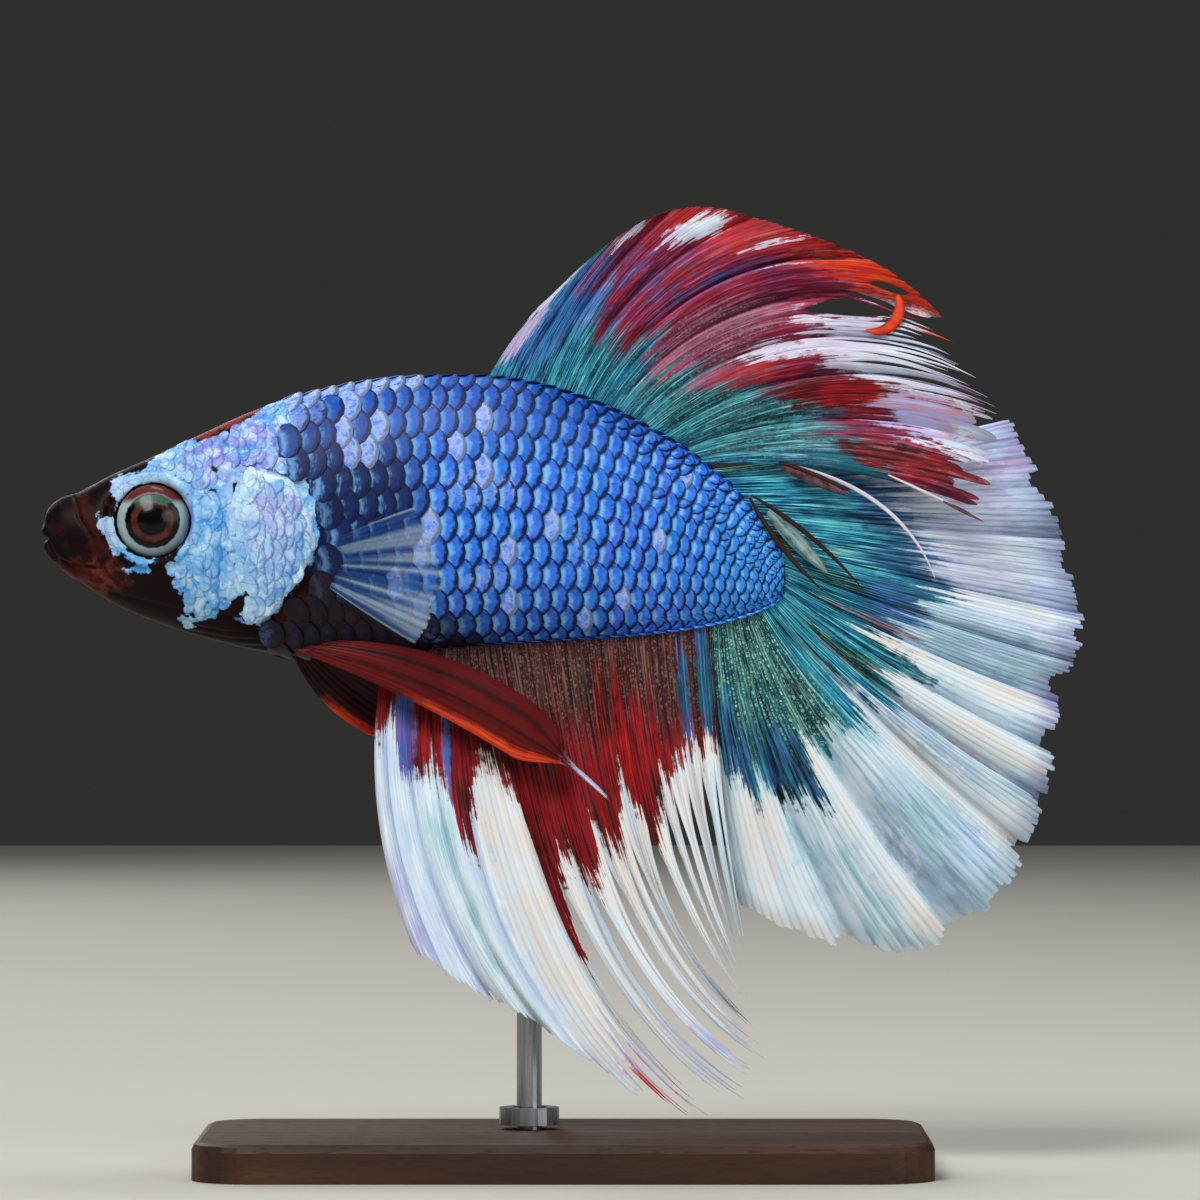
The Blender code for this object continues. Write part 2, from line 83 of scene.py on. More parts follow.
# Body outline: distance back from the snout, back line, belly line, half width
BODY_STATIONS = (
    (0.0, -0.1, -0.1, 0.0),
    (0.25, 1.1, -1.4, 1.0),
    (1.1, 1.9, -2.3, 1.6),
    (2.3, 2.3, -3.3, 2.0),
    (4.2, 3.3, -4.6, 2.5),
    (7.1, 4.6, -5.9, 3.1),
    (9.9, 5.9, -6.8, 3.5),
    (13.0, 7.3, -7.6, 3.9),
    (16.8, 8.6, -8.2, 4.1),
    (20.6, 9.4, -8.0, 4.1),
    (25.0, 9.7, -7.6, 3.9),
    (29.4, 9.5, -7.3, 3.6),
    (33.8, 8.4, -7.0, 3.0),
    (37.6, 6.7, -6.7, 2.4),
    (40.8, 4.8, -6.3, 1.8),
    (43.3, 2.8, -5.8, 1.3),
    (45.3, 0.5, -5.2, 0.9),
    (46.5, -1.4, -4.5, 0.6),
    (47.1, -3.0, -3.0, 0.0),
)
WIDEST_AT = 0.47
FLANK_POWER = 1.06
ROOT_DEPTH = 0.8
DEEPEST = 17.3  # height of the body at its deepest, which full-size scales are made for

GILL_COVER = (
    (9.9, 3.0), (12.6, 3.8), (15.6, 3.0), (16.9, 0.8), (17.2, -1.2), (16.3, -3.2), (14.8, -5.0), (13.4, -6.1),
    (11.2, -5.2), (9.7, -2.6),
)  # fmt: skip

# Markings of the left side, as outlines of its side view; a hole is its middle and its half length
PALE_MASK = (
     (3.4, 0.0), (3.7, 0.8), (4.7, 1.0), (4.9, 1.9), (4.2, 2.3), (4.7, 3.1), (6.4, 3.8), (7.4, 4.5),
    (8.0, 5.0), (9.8, 6.4), (12.2, 7.6), (16.4, 9.6), (18.6, 9.4), (17.2, 7.6), (15.4, 6.4), (15.0, 4.6),
    (16.4, 3.4), (17.4, 1.4), (17.5, -0.4), (17.0, -2.0), (16.2, -3.4), (15.1, -4.9), (13.8, -6.3),
    (12.3, -5.6), (13.2, -4.0), (11.3, -5.0), (10.8, -5.9), (9.4, -6.2), (8.5, -5.7), (9.5, -5.4),
    (8.6, -4.9), (8.9, -4.3), (8.3, -3.1), (7.6, -2.4), (8.4, -2.0), (9.0, -1.0), (7.0, -2.4), (5.3, -2.1),
    (4.5, -1.2),
)  # fmt: skip
MASK_HOLES = ((11.0, 3.6, 0.26), (12.9, 3.8, 0.2), (11.8, 2.6, 0.3), (9.2, 2.1, 0.22), (10.9, 2.2, 0.18))


def linear(code):
    """A linear colour from an sRGB hex value such as "2f55c8"."""
    parts = [int(code[k : k + 2], 16) / 255 for k in (0, 2, 4)]
    return tuple(p / 12.92 if p <= 0.04045 else ((p + 0.055) / 1.055) ** 2.4 for p in parts)


def placed(points):
    """Points of the fish's own frame, in millimetres, in the frame's metres."""
    return (np.asarray(points, float) + SNOUT) * MM


# ---------------------------------------------------------------- curves and fields


def smooth_rows(rows, at):
    """Catmull-Rom through the rows of a table, read at row numbers such as 2.5."""
    rows = np.asarray(rows, float)
    at = np.clip(np.asarray(at, float), 0, len(rows) - 1)
    k = np.minimum(at.astype(int), len(rows) - 2)
    t = (at - k)[..., None]
    before, start = rows[np.maximum(k - 1, 0)], rows[k]
    end, after = rows[k + 1], rows[np.minimum(k + 2, len(rows) - 1)]
    return 0.5 * (
        2 * start
        + (end - before) * t
        + (2 * before - 5 * start + 4 * end - after) * t**2
        + (3 * start - before - 3 * end + after) * t**3
    )


def ramp(value, low, high):
    """0 below low, 1 above high, smooth between."""
    t = np.clip((value - low) / (high - low), 0, 1)
    return t * t * (3 - 2 * t)


def along_table(table, u):
    return np.interp(u, [row[0] for row in table], [row[1] for row in table])


def from_stretch(ax, az, bx, bz, x, z):
    t = np.clip(((x - ax) * (bx - ax) + (z - az) * (bz - az)) / ((bx - ax) ** 2 + (bz - az) ** 2), 0, 1)
    return np.hypot(x - ax - t * (bx - ax), z - az - t * (bz - az))


def inside_outline(points, x, z):
    """Distance in millimetres inside an outline of the side view, negative outside it."""
    points = np.asarray(points, float)
    nearest = np.full(np.shape(x), np.inf)
    crossings = np.zeros(np.shape(x), int)
    for (ax, az), (bx, bz) in zip(points, np.roll(points, -1, axis=0)):
        nearest = np.minimum(nearest, from_stretch(ax, az, bx, bz, x, z))
        spans = (az > z) != (bz > z)
        crossings += spans & (x < ax + (z - az) * (bx - ax) / (bz - az if bz != az else 1e-9))
    return np.where(crossings % 2 == 1, nearest, -nearest)


def from_line(points, x, z):
    """Distance in millimetres from a line of the side view."""
    nearest = np.full(np.shape(x), np.inf)
    for (ax, az), (bx, bz) in zip(points, points[1:]):
        nearest = np.minimum(nearest, from_stretch(ax, az, bx, bz, x, z))
    return nearest


def oval(x, z, centre, half_length, half_height):
    """About the distance inside an oval of the side view, in millimetres."""
    out = np.hypot((x - centre[0]) / half_length, (z - centre[1]) / half_height)
    return (1 - out) * min(half_length, half_height)


def hump(distance, width):
    return np.exp(-((distance / width) ** 2))


# ---------------------------------------------------------------- body shape

UPPER_LIP = ((0.3, -0.2), (0.9, -1.4), (1.6, -1.9))
MOUTH_CLEFT = ((-0.5, -0.45), (0.35, -0.75), (1.0, -1.95), (2.0, -2.35), (3.3, -2.55))
JAW_LINE = ((1.3, -2.9), (3.0, -3.6), (5.2, -4.3), (7.4, -4.9), (9.6, -5.3))
CHEEK_GROOVE = ((9.6, 2.6), (9.5, 0.8), (9.3, -1.2), (9.5, -3.2), (10.6, -4.9), (12.4, -5.9))
SNOUT_GROOVE = ((2.0, 2.2), (2.4, 0.6), (3.2, -0.6), (3.9, -2.2))
THROAT_FOLD = ((9.0, -5.6), (11.5, -6.1), (14.0, -6.2), (15.6, -5.4))
NOSTRIL = (4.35, 1.55)


def station_at(x):
    return np.interp(x, [s[0] for s in BODY_STATIONS], range(len(BODY_STATIONS)))


def plain_body(along, around, grow=0.0):
    """The body without relief: along is 0 to 1 from snout to tail, around the angle up from the left flank."""
    x, back, belly, half = np.moveaxis(smooth_rows(BODY_STATIONS, along * (len(BODY_STATIONS) - 1)), -1, 0)
    middle = belly + WIDEST_AT * (back - belly)
    rise, reach = np.sin(around), np.cos(around)
    height = np.where(rise > 0, back - middle, middle - belly)
    height = np.maximum(height + grow, 0.15 * height)
    y = -np.maximum(half + grow, 0.15 * half) * np.sign(reach) * np.abs(reach) ** FLANK_POWER
    return np.stack([x + 0 * y, y, middle + height * rise], axis=-1)


def unit(vectors):
    return vectors / np.maximum(np.linalg.norm(vectors, axis=-1, keepdims=True), 1e-12)


def surface_frame(surface, along, around):
    """Points, outward normals and rearward tangents of a surface over (along, around)."""
    step = 1e-4
    point = surface(along, around)
    rear = surface(np.clip(along + step, 0, 1), around) - surface(np.clip(along - step, 0, 1), around)
    up = surface(along, around + step) - surface(along, around - step)
    return point, unit(np.cross(rear, up)), unit(rear)


def relief(point):
    """How far the skin stands out over the plain body, in millimetres."""
    x, z = point[..., 0], point[..., 2]
    side = ramp(np.abs(point[..., 1]), 0.2, 1.0)
    out = -0.26 * ramp(x, 14.5, 17.5)  # room for the coat of scales
    eye = np.hypot(x - EYE_AT[0], z - EYE_AT[2])
    brow = ramp(z - EYE_AT[2], 0.6, 1.8)
    out += side * (-1.5 * ramp(2.48 - eye, 0.0, 0.34) + (0.14 + 0.12 * brow) * hump(eye - 2.76, 0.26))
    out -= side * 0.1 * hump(eye - 3.2, 0.2)
    cover = inside_outline(GILL_COVER, x, z)
    rear = ramp(x, 11.5, 13.5)
    out += side * rear * (0.3 * ramp(cover, -0.05, 0.1) - 0.22 * hump(cover + 0.3, 0.22))
    out -= side * 0.1 * hump(from_line(CHEEK_GROOVE, x, z), 0.16)
    out -= 0.32 * hump(from_line(MOUTH_CLEFT, x, z), 0.16)
    out += 0.2 * hump(from_line(UPPER_LIP, x, z), 0.4)
    out += 0.16 * hump(from_line([(px, pz - 0.55) for px, pz in MOUTH_CLEFT[1:4]], x, z), 0.36)
    out -= side * 0.1 * hump(from_line(SNOUT_GROOVE, x, z), 0.14)
    out -= side * 0.08 * hump(from_line(JAW_LINE, x, z), 0.16)
    out -= side * 0.3 * hump(np.hypot(x - NOSTRIL[0], z - NOSTRIL[1]), 0.17)
    out += side * 0.1 * hump(np.hypot(x - NOSTRIL[0], z - NOSTRIL[1]) - 0.3, 0.1)
    for k in range(3):
        fold = [(px + 0.2 * k, pz - 0.45 - 0.42 * k) for px, pz in THROAT_FOLD]
        out -= side * 0.07 * hump(from_line(fold, x, z), 0.1)
    return out


def skin_surface(along, around):
    point, normal, _ = surface_frame(plain_body, along, around)
    return point + normal * relief(point)[..., None]


def body_outline(x):
    _, back, belly, _ = np.moveaxis(smooth_rows(BODY_STATIONS, station_at(x)), -1, 0)
    return back, belly


# ---------------------------------------------------------------- markings and painted shade of body and head


def body_marks_and_shade(point):
    """Fields in millimetres inside each marking, for the skin and for every scale's root; the back, band,
    groove and shade fields place painted shade instead of markings.
    """
    x, y, z = np.moveaxis(point, -1, 0)
    z_of = np.where(y < 0, z, z + 0.35 * np.sin(x))  # the right side's outlines differ a little
    mask = inside_outline(PALE_MASK, x, z_of)
    mask = np.maximum(mask, oval(x, z_of, (6.35, -2.65), 0.75, 0.34))
    for *at, size in MASK_HOLES:
        mask = np.minimum(mask, -oval(x, z_of, at, size, size * 0.8))
    mask = np.minimum(mask, 3 * (np.hypot(x - EYE_AT[0], z - EYE_AT[2]) - 2.4))  # the socket stays dark
    crown = 0.42 * (1 - ((x - 11.6) / 3.0) ** 2) - from_line(CROWN_STREAK, x, z)  # pointed at both ends
    mask = np.minimum(mask, -crown)
    back, _ = body_outline(x)
    nape = np.minimum(1.9 - 0.12 * (x - 13.6) - (back - z), np.minimum(x - 13.0, 24.0 - x))
    cover = inside_outline(GILL_COVER, x, z_of)
    return {
        "mask": mask,
        "crown": crown,
        "nape": nape,
        "warm": np.maximum(oval(x, z, (3.0, -3.2), 2.4, 1.1), oval(x, z, (18.4, -6.0), 3.4, 2.0)),
        # painted shade: the upper back darker blue, to offset the light from above
        "back": ramp(z, 3.0, 8.0) * ramp(x, 14.5, 17.0),
        "navy": oval(x, z, (18.4, 0.4), 5.8, 8.0) * 0.6,
        "belly": np.minimum(-2.6 - z - 0.34 * (x - 16.2), np.minimum(x - 13.5, 28.0 - x)),
        "tail": x - 41.0 - 0.3 * (z + 3),
        "rim": np.where((x > 13.0) & (cover > -0.2), 0.45 - np.abs(cover - 0.2), -1.0),
        "lilac": np.maximum(oval(x, z, (12.4, 5.2), 5.0, 2.4), oval(x, z, (14.4, 0.0), 2.4, 2.8)) - 0.3,
        # painted shadow: dark just behind and under the gill cover's rear edge
        "band": np.where(x > 14.0, np.minimum(np.minimum(cover + 1.7, 0.4 - cover), 2.6 - z), -1.0),
        # painted shade: a darker line along the cheek groove
        "groove": 0.16 - from_line(CHEEK_GROOVE, x, z_of),
        "plate": ramp(cover, 0.0, 1.5) * ramp(x, 11.0, 12.6),
        "maxilla": 0.55 - from_line(((2.5, 2.4), (2.7, 1.2), (3.2, 0.0), (3.8, -1.6)), x, z),
        "muzzle": 1.7 - x + 0.2 * z,
        "front": np.where(z > -1.2, np.minimum(10.6 - x, 5.0 - z), -1.0),
        # painted shade: the lower body darker towards the belly, fading out towards the tail
        "shade": ramp(-2.2 - z, 0.0, 4.5) * ramp(39 - x, 0, 6),
    }


# The crown's red streak, and the middles of the pale scales
CROWN_STREAK = ((9.6, 5.6), (11.6, 6.5), (13.6, 7.6))
GALAXY_SPOTS = (
    (24.4, -0.6), (27.8, 3.8), (28.8, -0.6), (31.9, -0.6), (38.2, -1.2), (36.3, -4.4), (29.4, -5.0),
    (27.2, 7.3), (18.6, 5.6), (20.9, 4.1), (18.8, 7.4), (20.5, 5.8), (19.0, 4.0), (23.0, -2.2), (33.8, -5.4),
    (40.0, 3.0), (25.6, 5.6), (21.5, -3.4),
)  # fmt: skip

# ---------------------------------------------------------------- fins


class Fin(NamedTuple):
    """A fin's guide rays, each its root (x, z), headings at root and tip in degrees, length and lateness of
    its bend; notches in its edge; creases (place, bulge after it, lean); slits (place, half gap, start, end);
    where its membrane frays, as (place, share of the ray); its sway and waves across the body; edge is a
    ray's width at its end, as a share of its full width."""

    name: str
    guides: tuple
    above: bool
    rays: int
    steps: int
    notches: tuple = ()
    creases: tuple = ((0, 0, 0), (1, 0, 0))
    slits: tuple = ()
    fray: tuple = ((0, 2.0), (1, 2.0))
    sway: object = None
    clump: int = 3
    gather: tuple = (0.25, 0.7)
    uneven: float = 0.3
    overlap: float = 0.52
    silk: tuple = ((0, 0.0), (1, 0.0))
    pinch: float = 0.0
    thread: float = 0.2
    ridge: float = 0.055
    web: float = 0.025
    edge: float = 0.4
    seed: int = 1


DORSAL = Fin(
    "dorsal_fin",
    ((27.7, None, 62, 49, 6.2, 1.0), (29.6, None, 68, 47, 10.8, 1.0), (31.6, None, 70, 37, 15.1, 1.0),
     (33.6, None, 67, 9, 18.6, 1.0), (35.3, None, 60, -23, 23.9, 1.0), (37.4, None, 46, -30, 23.4, 1.0),
     (39.2, None, 30, -23, 22.0, 1.0), (40.8, None, 4, -22, 18.6, 1.0)),
    above=True, rays=112, steps=66, seed=11, silk=((0, 0.35), (1, 0.35)), thread=0.44, clump=4,
    gather=(0.05, 0.35),
    notches=((0.62, 0.02, 0.1), (0.66, 0.014, 0.12), (0.74, 0.014, 0.08), (0.875, 0.014, 0.08),
        (0.905, 0.02, 0.12), (0.94, 0.02, 0.14), (0.975, 0.014, 0.1)),
    creases=((0, 0.5, 0), (0.17, 0.5, 0.01), (0.27, 0.6, 0.01), (0.38, 0.7, 0.012), (0.5, 0.7, 0.014),
        (0.6, 0.5, 0), (0.69, 0.6, 0.012), (0.8, 0.7, 0.016), (0.895, 0.5, 0.01), (1, 0, 0)),
    slits=((0.512, 0.009, 0.8, 0.95), (0.575, 0.012, 0.84, 0.96), (0.625, 0.02, 0.58, 0.83),
        (0.672, 0.007, 0.62, 0.9), (0.715, 0.008, 0.66, 0.95), (0.765, 0.007, 0.58, 0.85),
        (0.8, 0.006, 0.6, 0.9)),
    fray=((0, 2.0), (0.585, 2.0), (0.6, 0.62), (0.66, 0.5), (0.84, 0.55), (0.87, 0.84), (1, 0.8)),
    sway=lambda u, r: -2.9 * u**1.5 * r**1.15 + 0.55 * r * np.sin(2 * math.pi * (3.5 * u + 0.1)),
)  # fmt: skip
CAUDAL = Fin(
    "caudal_fin",
    ((40.9, 3.6, 5, 14, 20.6, 1.0), (43.2, 1.4, -5, -2, 21.0, 1.0), (45.3, -1.2, -15, -12, 21.0, 1.0),
     (45.9, -2.6, -28, -17, 20.0, 1.0), (45.8, -3.5, -44, -27, 21.8, 1.0), (45.1, -4.2, -54, -42, 24.2, 1.0),
     (43.9, -4.8, -76, -53, 24.6, 1.0), (42.1, -5.4, -93, -76, 18.6, 1.0)),
    above=True, rays=116, steps=62, fray=((0, 0.95), (1, 0.95)), seed=23, ridge=0.11, edge=0.65, uneven=0.1,
    notches=((0.09, 0.02, 0.03), (0.2, 0.03, 0.03), (0.31, 0.02, 0.03), (0.43, 0.03, 0.05),
        (0.53, 0.02, 0.05), (0.62, 0.015, 0.05), (0.7, 0.03, 0.08), (0.81, 0.02, 0.04), (0.9, 0.02, 0.04)),
    creases=((0, 0.6, 0), (0.16, 0.6, 0.006), (0.27, 0.7, 0.008), (0.37, 0.9, 0.014), (0.46, 1.2, 0.024),
        (0.535, 1.2, 0.024), (0.61, 1.2, 0.028), (0.685, 1.7, 0.034), (0.81, 1.0, 0.016), (0.9, 0.8, 0.01),
        (1, 0, 0)),
    sway=lambda u, r: 2.0 * (1 - u) * r**1.15 + 2.3 * u**2 * r**0.9
    + 0.8 * r**1.2 * np.sin(2 * math.pi * (4.5 * u + 0.2)),
    silk=((0, 0.0), (0.35, 0.1), (0.5, 0.4), (0.85, 0.5), (1, 0.3)),
)  # fmt: skip
ANAL = Fin(
    "anal_fin",
    ((21.7, None, -103, -67, 19.9, 1.0), (22.8, None, -101, -58, 23.0, 1.0),
     (25.4, None, -97, -48, 27.6, 1.1), (27.8, None, -81, -36, 34.2, 2.0), (31.6, None, -81, -29, 32.4, 2.0),
     (35.1, None, -84, -38, 28.4, 2.0), (38.2, None, -85, -62, 22.9, 1.5), (42.0, None, -88, -80, 20.8, 1.0),
     ),
    above=False, rays=124, steps=70, seed=37, thread=0.26, clump=6, gather=(0.35, 0.8),
    notches=((0.06, 0.02, 0.03), (0.2, 0.02, 0.03), (0.34, 0.015, 0.04)),
    creases=((0, 0.5, 0), (0.1, 0.6, 0.008), (0.19, 0.7, 0.012), (0.26, 0.7, 0.012), (0.345, 0.9, -0.02),
        (0.44, 0.6, 0.01), (0.53, 0.5, 0.01), (0.62, 0.5, 0), (0.72, 0.5, 0), (0.83, 0.5, 0), (0.92, 0.4, 0),
        (1, 0, 0)),
    fray=((0, 0.93), (0.33, 0.88), (0.42, 0.62), (0.48, 0.42), (0.8, 0.46), (1, 0.4)),
    sway=lambda u, r: -0.7 * r - 1.0 * u**2 * r**1.1 + 0.7 * r**1.2 * np.sin(2 * math.pi * (4.0 * u + 0.55)),
    silk=((0, 0.9), (0.3, 0.85), (0.37, 0.3), (0.42, 0.0), (1, 0.0)),
)  # fmt: skip
PELVIC_LEFT = Fin(
    "pelvic_fin_left",
    ((15.9, -7.7, -20, -37, 21.9, 1.0), (16.6, -7.4, -9, -45, 22.0, 1.0), (17.4, -7.1, 4, -57, 21.9, 1.0)),
    above=False, rays=11, steps=70, silk=((0, 1.0), (1, 1.0)), uneven=0.0, overlap=1.2, pinch=0.93,
    ridge=0.13, web=0.12, seed=5,
    sway=lambda u, r: -1.6 - 2.0 * r**0.6 + 0.5 * np.abs(2 * u - 1) * np.sin(math.pi * r),
)  # fmt: skip
PELVIC_RIGHT = Fin(
    "pelvic_fin_right",
    ((15.4, -7.3, -72, -6, 11.2, 1.0), (16.2, -7.3, -46, -24, 11.0, 1.0), (17.0, -7.2, -22, -50, 10.8, 1.0)),
    above=False, rays=11, steps=50, silk=((0, 1.0), (1, 1.0)), uneven=0.0, overlap=1.2, pinch=0.8, ridge=0.13,
    web=0.12, seed=6,
    sway=lambda u, r: 1.6 + 2.2 * r**0.7 - 0.4 * np.abs(2 * u - 1) * np.sin(math.pi * r),
)  # fmt: skip


# Folded rear strips of the dorsal fin, and its curled orange tips
LOOSE_STRIPS = (
    (44.4, 2.2, -0.7, -1.1, -30, -50, 1.0, 9.2, 0.15, 0),
    (44.4, 2.1, -0.8, -1.0, -62, -42, 1.0, 7.6, 0.17, 0),
    (45.6, 1.2, -0.7, -0.9, -48, -45, 1.0, 5.4, 0.5, 2),
    (46.6, 4.1, -1.05, -1.7, -14, -70, 1.4, 12.2, 0.13, 3),
    (46.4, 3.9, -1.0, -1.6, -20, -27, 1.0, 4.6, 0.36, 1),
    (46.2, 4.2, -1.05, -1.7, -16, -30, 1.0, 5.0, 0.14, 0),
    (53.0, 3.4, -2.3, -3.1, -25, -26, 1.0, 6.6, 0.1, 3),
    (56.5, 1.7, -2.85, -3.2, -26, -28, 1.0, 2.8, 0.12, 1),
    (53.7, 14.7, -1.35, -1.8, -62, -200, 1.0, 3.8, 0.38, 4),
)


def pectoral(name, side, seed):
    return Fin(
        name,
        ((17.9, -1.0, 26, 18, 6.0, 1.0), (18.2, -2.4, -4, -8, 7.2, 1.0), (18.2, -3.8, -36, -30, 6.4, 1.0)),
        above=True,
        rays=26,
        steps=30,
        notches=((0.33, 0.12, 0.06), (0.67, 0.12, 0.06)),
        sway=lambda u, r: side * (3.6 + 2.9 * r + 0.2 * np.sin(9 * u) * r),
        ridge=0.07,
        web=0.03,
        seed=seed,
    )


PECTORALS = (pectoral("pectoral_fin_left", -1, 8), pectoral("pectoral_fin_right", 1, 9))


def root_height(x, above):
    back, belly = body_outline(x)
    return float(back - ROOT_DEPTH if above else belly + ROOT_DEPTH)


def ray_points(fin, u, v, steps=48):
    """(x, z) of a fin at u across the rays and v along them, both arrays of one shape."""
    guides = [(x, root_height(x, fin.above) if z is None else z, *rest) for x, z, *rest in fin.guides]
    at = np.clip(u, 0, 1) * (len(guides) - 1)
    x, z, start, finish, length, late = np.moveaxis(smooth_rows(guides, at), -1, 0)
    at_x, at_z = np.zeros_like(x), np.zeros_like(z)
    for k in range(steps):
        share = (k + 0.5) / steps * v
        heading = np.radians(start + (finish - start) * share**late)
        at_x += np.cos(heading) * length * v / steps
        at_z += np.sin(heading) * length * v / steps
    return x + at_x, z + at_z


def fold_share(fin, u):
    """Which fold each place across a fin is in, and its share of the way over that fold."""
    places = np.array([row[0] for row in fin.creases])
    at = np.clip(np.searchsorted(places, u, side="right") - 1, 0, len(places) - 2)
    return at, np.clip((u - places[at]) / (places[at + 1] - places[at]), 0, 1)


def fin_sheet(fin, u, v):
    """The fin's middle surface, bulging between its creases, in the fish's own frame."""
    at, q = fold_share(fin, u)
    bulge = np.array([row[1] for row in fin.creases])[at]
    lean = np.array([row[2] for row in fin.creases])[at]
    open_by = ramp(v, -0.1, 0.6)
    arch = np.sqrt(np.clip(4 * q * (1 - q), 0, 1)) * open_by
    narrow = 1 - fin.pinch * ramp(v, 0.66, 0.86)
    x, z = ray_points(fin, 0.5 + (u - lean * arch - 0.5) * narrow, v)
    return np.stack([x, fin.sway(np.clip(u, 0, 1), v) - bulge * arch, z], axis=-1)


def notched(u, notches):
    reach = np.ones_like(u)
    for at, half_width, depth in notches:
        reach -= depth * np.clip(1 - np.abs(u - at) / half_width, 0, 1) ** 1.3
    return reach


def ray_layout(fin):
    """For every ray and step: its place across the fin, its share of the full length, and its fraying."""
    rng = np.random.default_rng(fin.seed)
    rays = (np.arange(fin.rays) + 0.5 + fin.uneven * rng.uniform(-1, 1, fin.rays)) / fin.rays
    steps = np.linspace(0, 1, fin.steps + 1) ** 0.9
    u = np.repeat(rays[:, None], fin.steps + 1, axis=1)
    fray_from = along_table(fin.fray, rays)[:, None]
    tips = notched(rays, fin.notches)
    loose = np.clip((1 - fray_from) * 2.5, 0, 1)
    tips = tips[:, None] * (1 - (0.008 + 0.1 * loose) * rng.random((fin.rays, 1)))
    v = steps[None, :] * tips
    frayed = ramp(v, fray_from - 0.02, fray_from + 0.22)
    cuts = np.cumsum(rng.integers(max(fin.clump - 2, 1), fin.clump + 3, fin.rays))
    group = np.searchsorted(cuts, np.arange(fin.rays), side="right")
    middle = np.array([rays[group == g].mean() for g in group])[:, None]
    gather = rng.uniform(*fin.gather, (fin.rays, 1)) * frayed * loose
    u = u + (middle - u) * gather
    wander = rng.normal(size=(fin.rays, 3, 1))
    phase = v[:, None, :] * np.array([3.0, 5.5, 9.0])[None, :, None] + 6.3 * rng.random((fin.rays, 3, 1))
    u = u + (wander * np.sin(phase)).sum(axis=1) * 0.22 / fin.rays * frayed * loose
    for centre, half_gap, start, end in fin.slits:
        open_by = np.sin(math.pi * np.clip((v - start) / (end - start), 0, 1))
        u = u + np.sign(rays[:, None] - centre) * half_gap * open_by * hump(rays[:, None] - centre, 0.035)
    return u, v, frayed * loose, rng


# Eight points round a ray: how far aside each lies, and how far out
LOOP = np.array([-1, -0.55, 0, 0.55, 1, 0.55, 0, -0.55])
LOOP_HEIGHT = np.array([0, 0.42, 1, 0.42, 0, -0.42, -1, -0.42])


def ribbon_loops(fin, u, v, half, thick):
    """Loops of eight points round each ray at u and v; half is its half width in u, thick its half height."""
    step = 1e-3
    place_u = u[..., None] + half[..., None] * LOOP
    place_v = np.repeat(v[..., None], len(LOOP), axis=2)
    point = fin_sheet(fin, place_u, place_v)
    tangent = fin_sheet(fin, place_u, place_v + step) - fin_sheet(fin, place_u, np.maximum(place_v - step, 0))
    sideways = fin_sheet(fin, place_u + step, place_v) - fin_sheet(fin, place_u - step, place_v)
    normal = unit(np.cross(sideways, tangent))
    height = fin.web * (1 - np.abs(LOOP_HEIGHT)) + thick[..., None] * np.abs(LOOP_HEIGHT)
    point = point + normal * (height * np.sign(LOOP_HEIGHT))[..., None]
    return point, place_u, place_v


def u_per_mm(fin, u, v):
    """How far across the fin, in u, a millimetre reaches."""
    step = 1e-3
    across = (fin_sheet(fin, u + step, v) - fin_sheet(fin, u - step, v)) / (2 * step)
    return 1 / np.maximum(np.linalg.norm(across, axis=-1), 1e-6)


def carried(point, u, v, rng, **more):
    """What a set of ribbons carries to its mesh: loops, place on the fin, crest, and each ray's luck."""
    shape = point.shape[:3]
    made = {
        "point": point,
        "u": np.clip(u, 0, 1),
        "v": v,
        "crest": np.abs(LOOP_HEIGHT),
        "luck": rng.random((shape[0], 1, 1)),
        "silk": 0.0,
        "fold": 0.0,
        "end": 0.0,
        **more,
    }
    return {key: value if key == "point" else np.broadcast_to(value, shape) for key, value in made.items()}


def fin_ribbons(fin):
    """All the fin's rays, each a closed ribbon with its share of the membrane."""
    u, v, frayed, rng = ray_layout(fin)
    per_mm = u_per_mm(fin, u, v)
    full = (fin.overlap + fin.uneven) / fin.rays
    half = full + (np.minimum(fin.thread / 2 * per_mm, full) - full) * frayed
    end = np.linspace(0, 1, fin.steps + 1)[None, :]
    loose_taper = np.sqrt(np.clip((1 - end) / 0.05, 0, 1)) * (0.25 + 0.75 * np.clip((1 - end) / 0.3, 0, 1))
    whole_taper = fin.edge + (1 - fin.edge) * np.clip((1 - end) / 0.03, 0, 1) ** 0.6
    half = half * np.maximum(whole_taper + (loose_taper - whole_taper) * frayed, 0.04)
    silk = along_table(fin.silk, u)
    stout = (1 - 0.55 * np.clip(v, 0, 1)) * (1 - 0.85 * np.clip((end - 0.9) / 0.1, 0, 1)) * (1 - 0.6 * silk)
    thick = np.minimum(fin.ridge * stout, 0.9 * half / per_mm + 0.01) * rng.uniform(0.75, 1.25, (fin.rays, 1))
    point, place_u, place_v = ribbon_loops(fin, u, v, half, thick)
    fold = fold_share(fin, place_u)[1]
    return carried(point, place_u, place_v, rng, silk=silk[..., None], fold=fold, end=end[..., None])


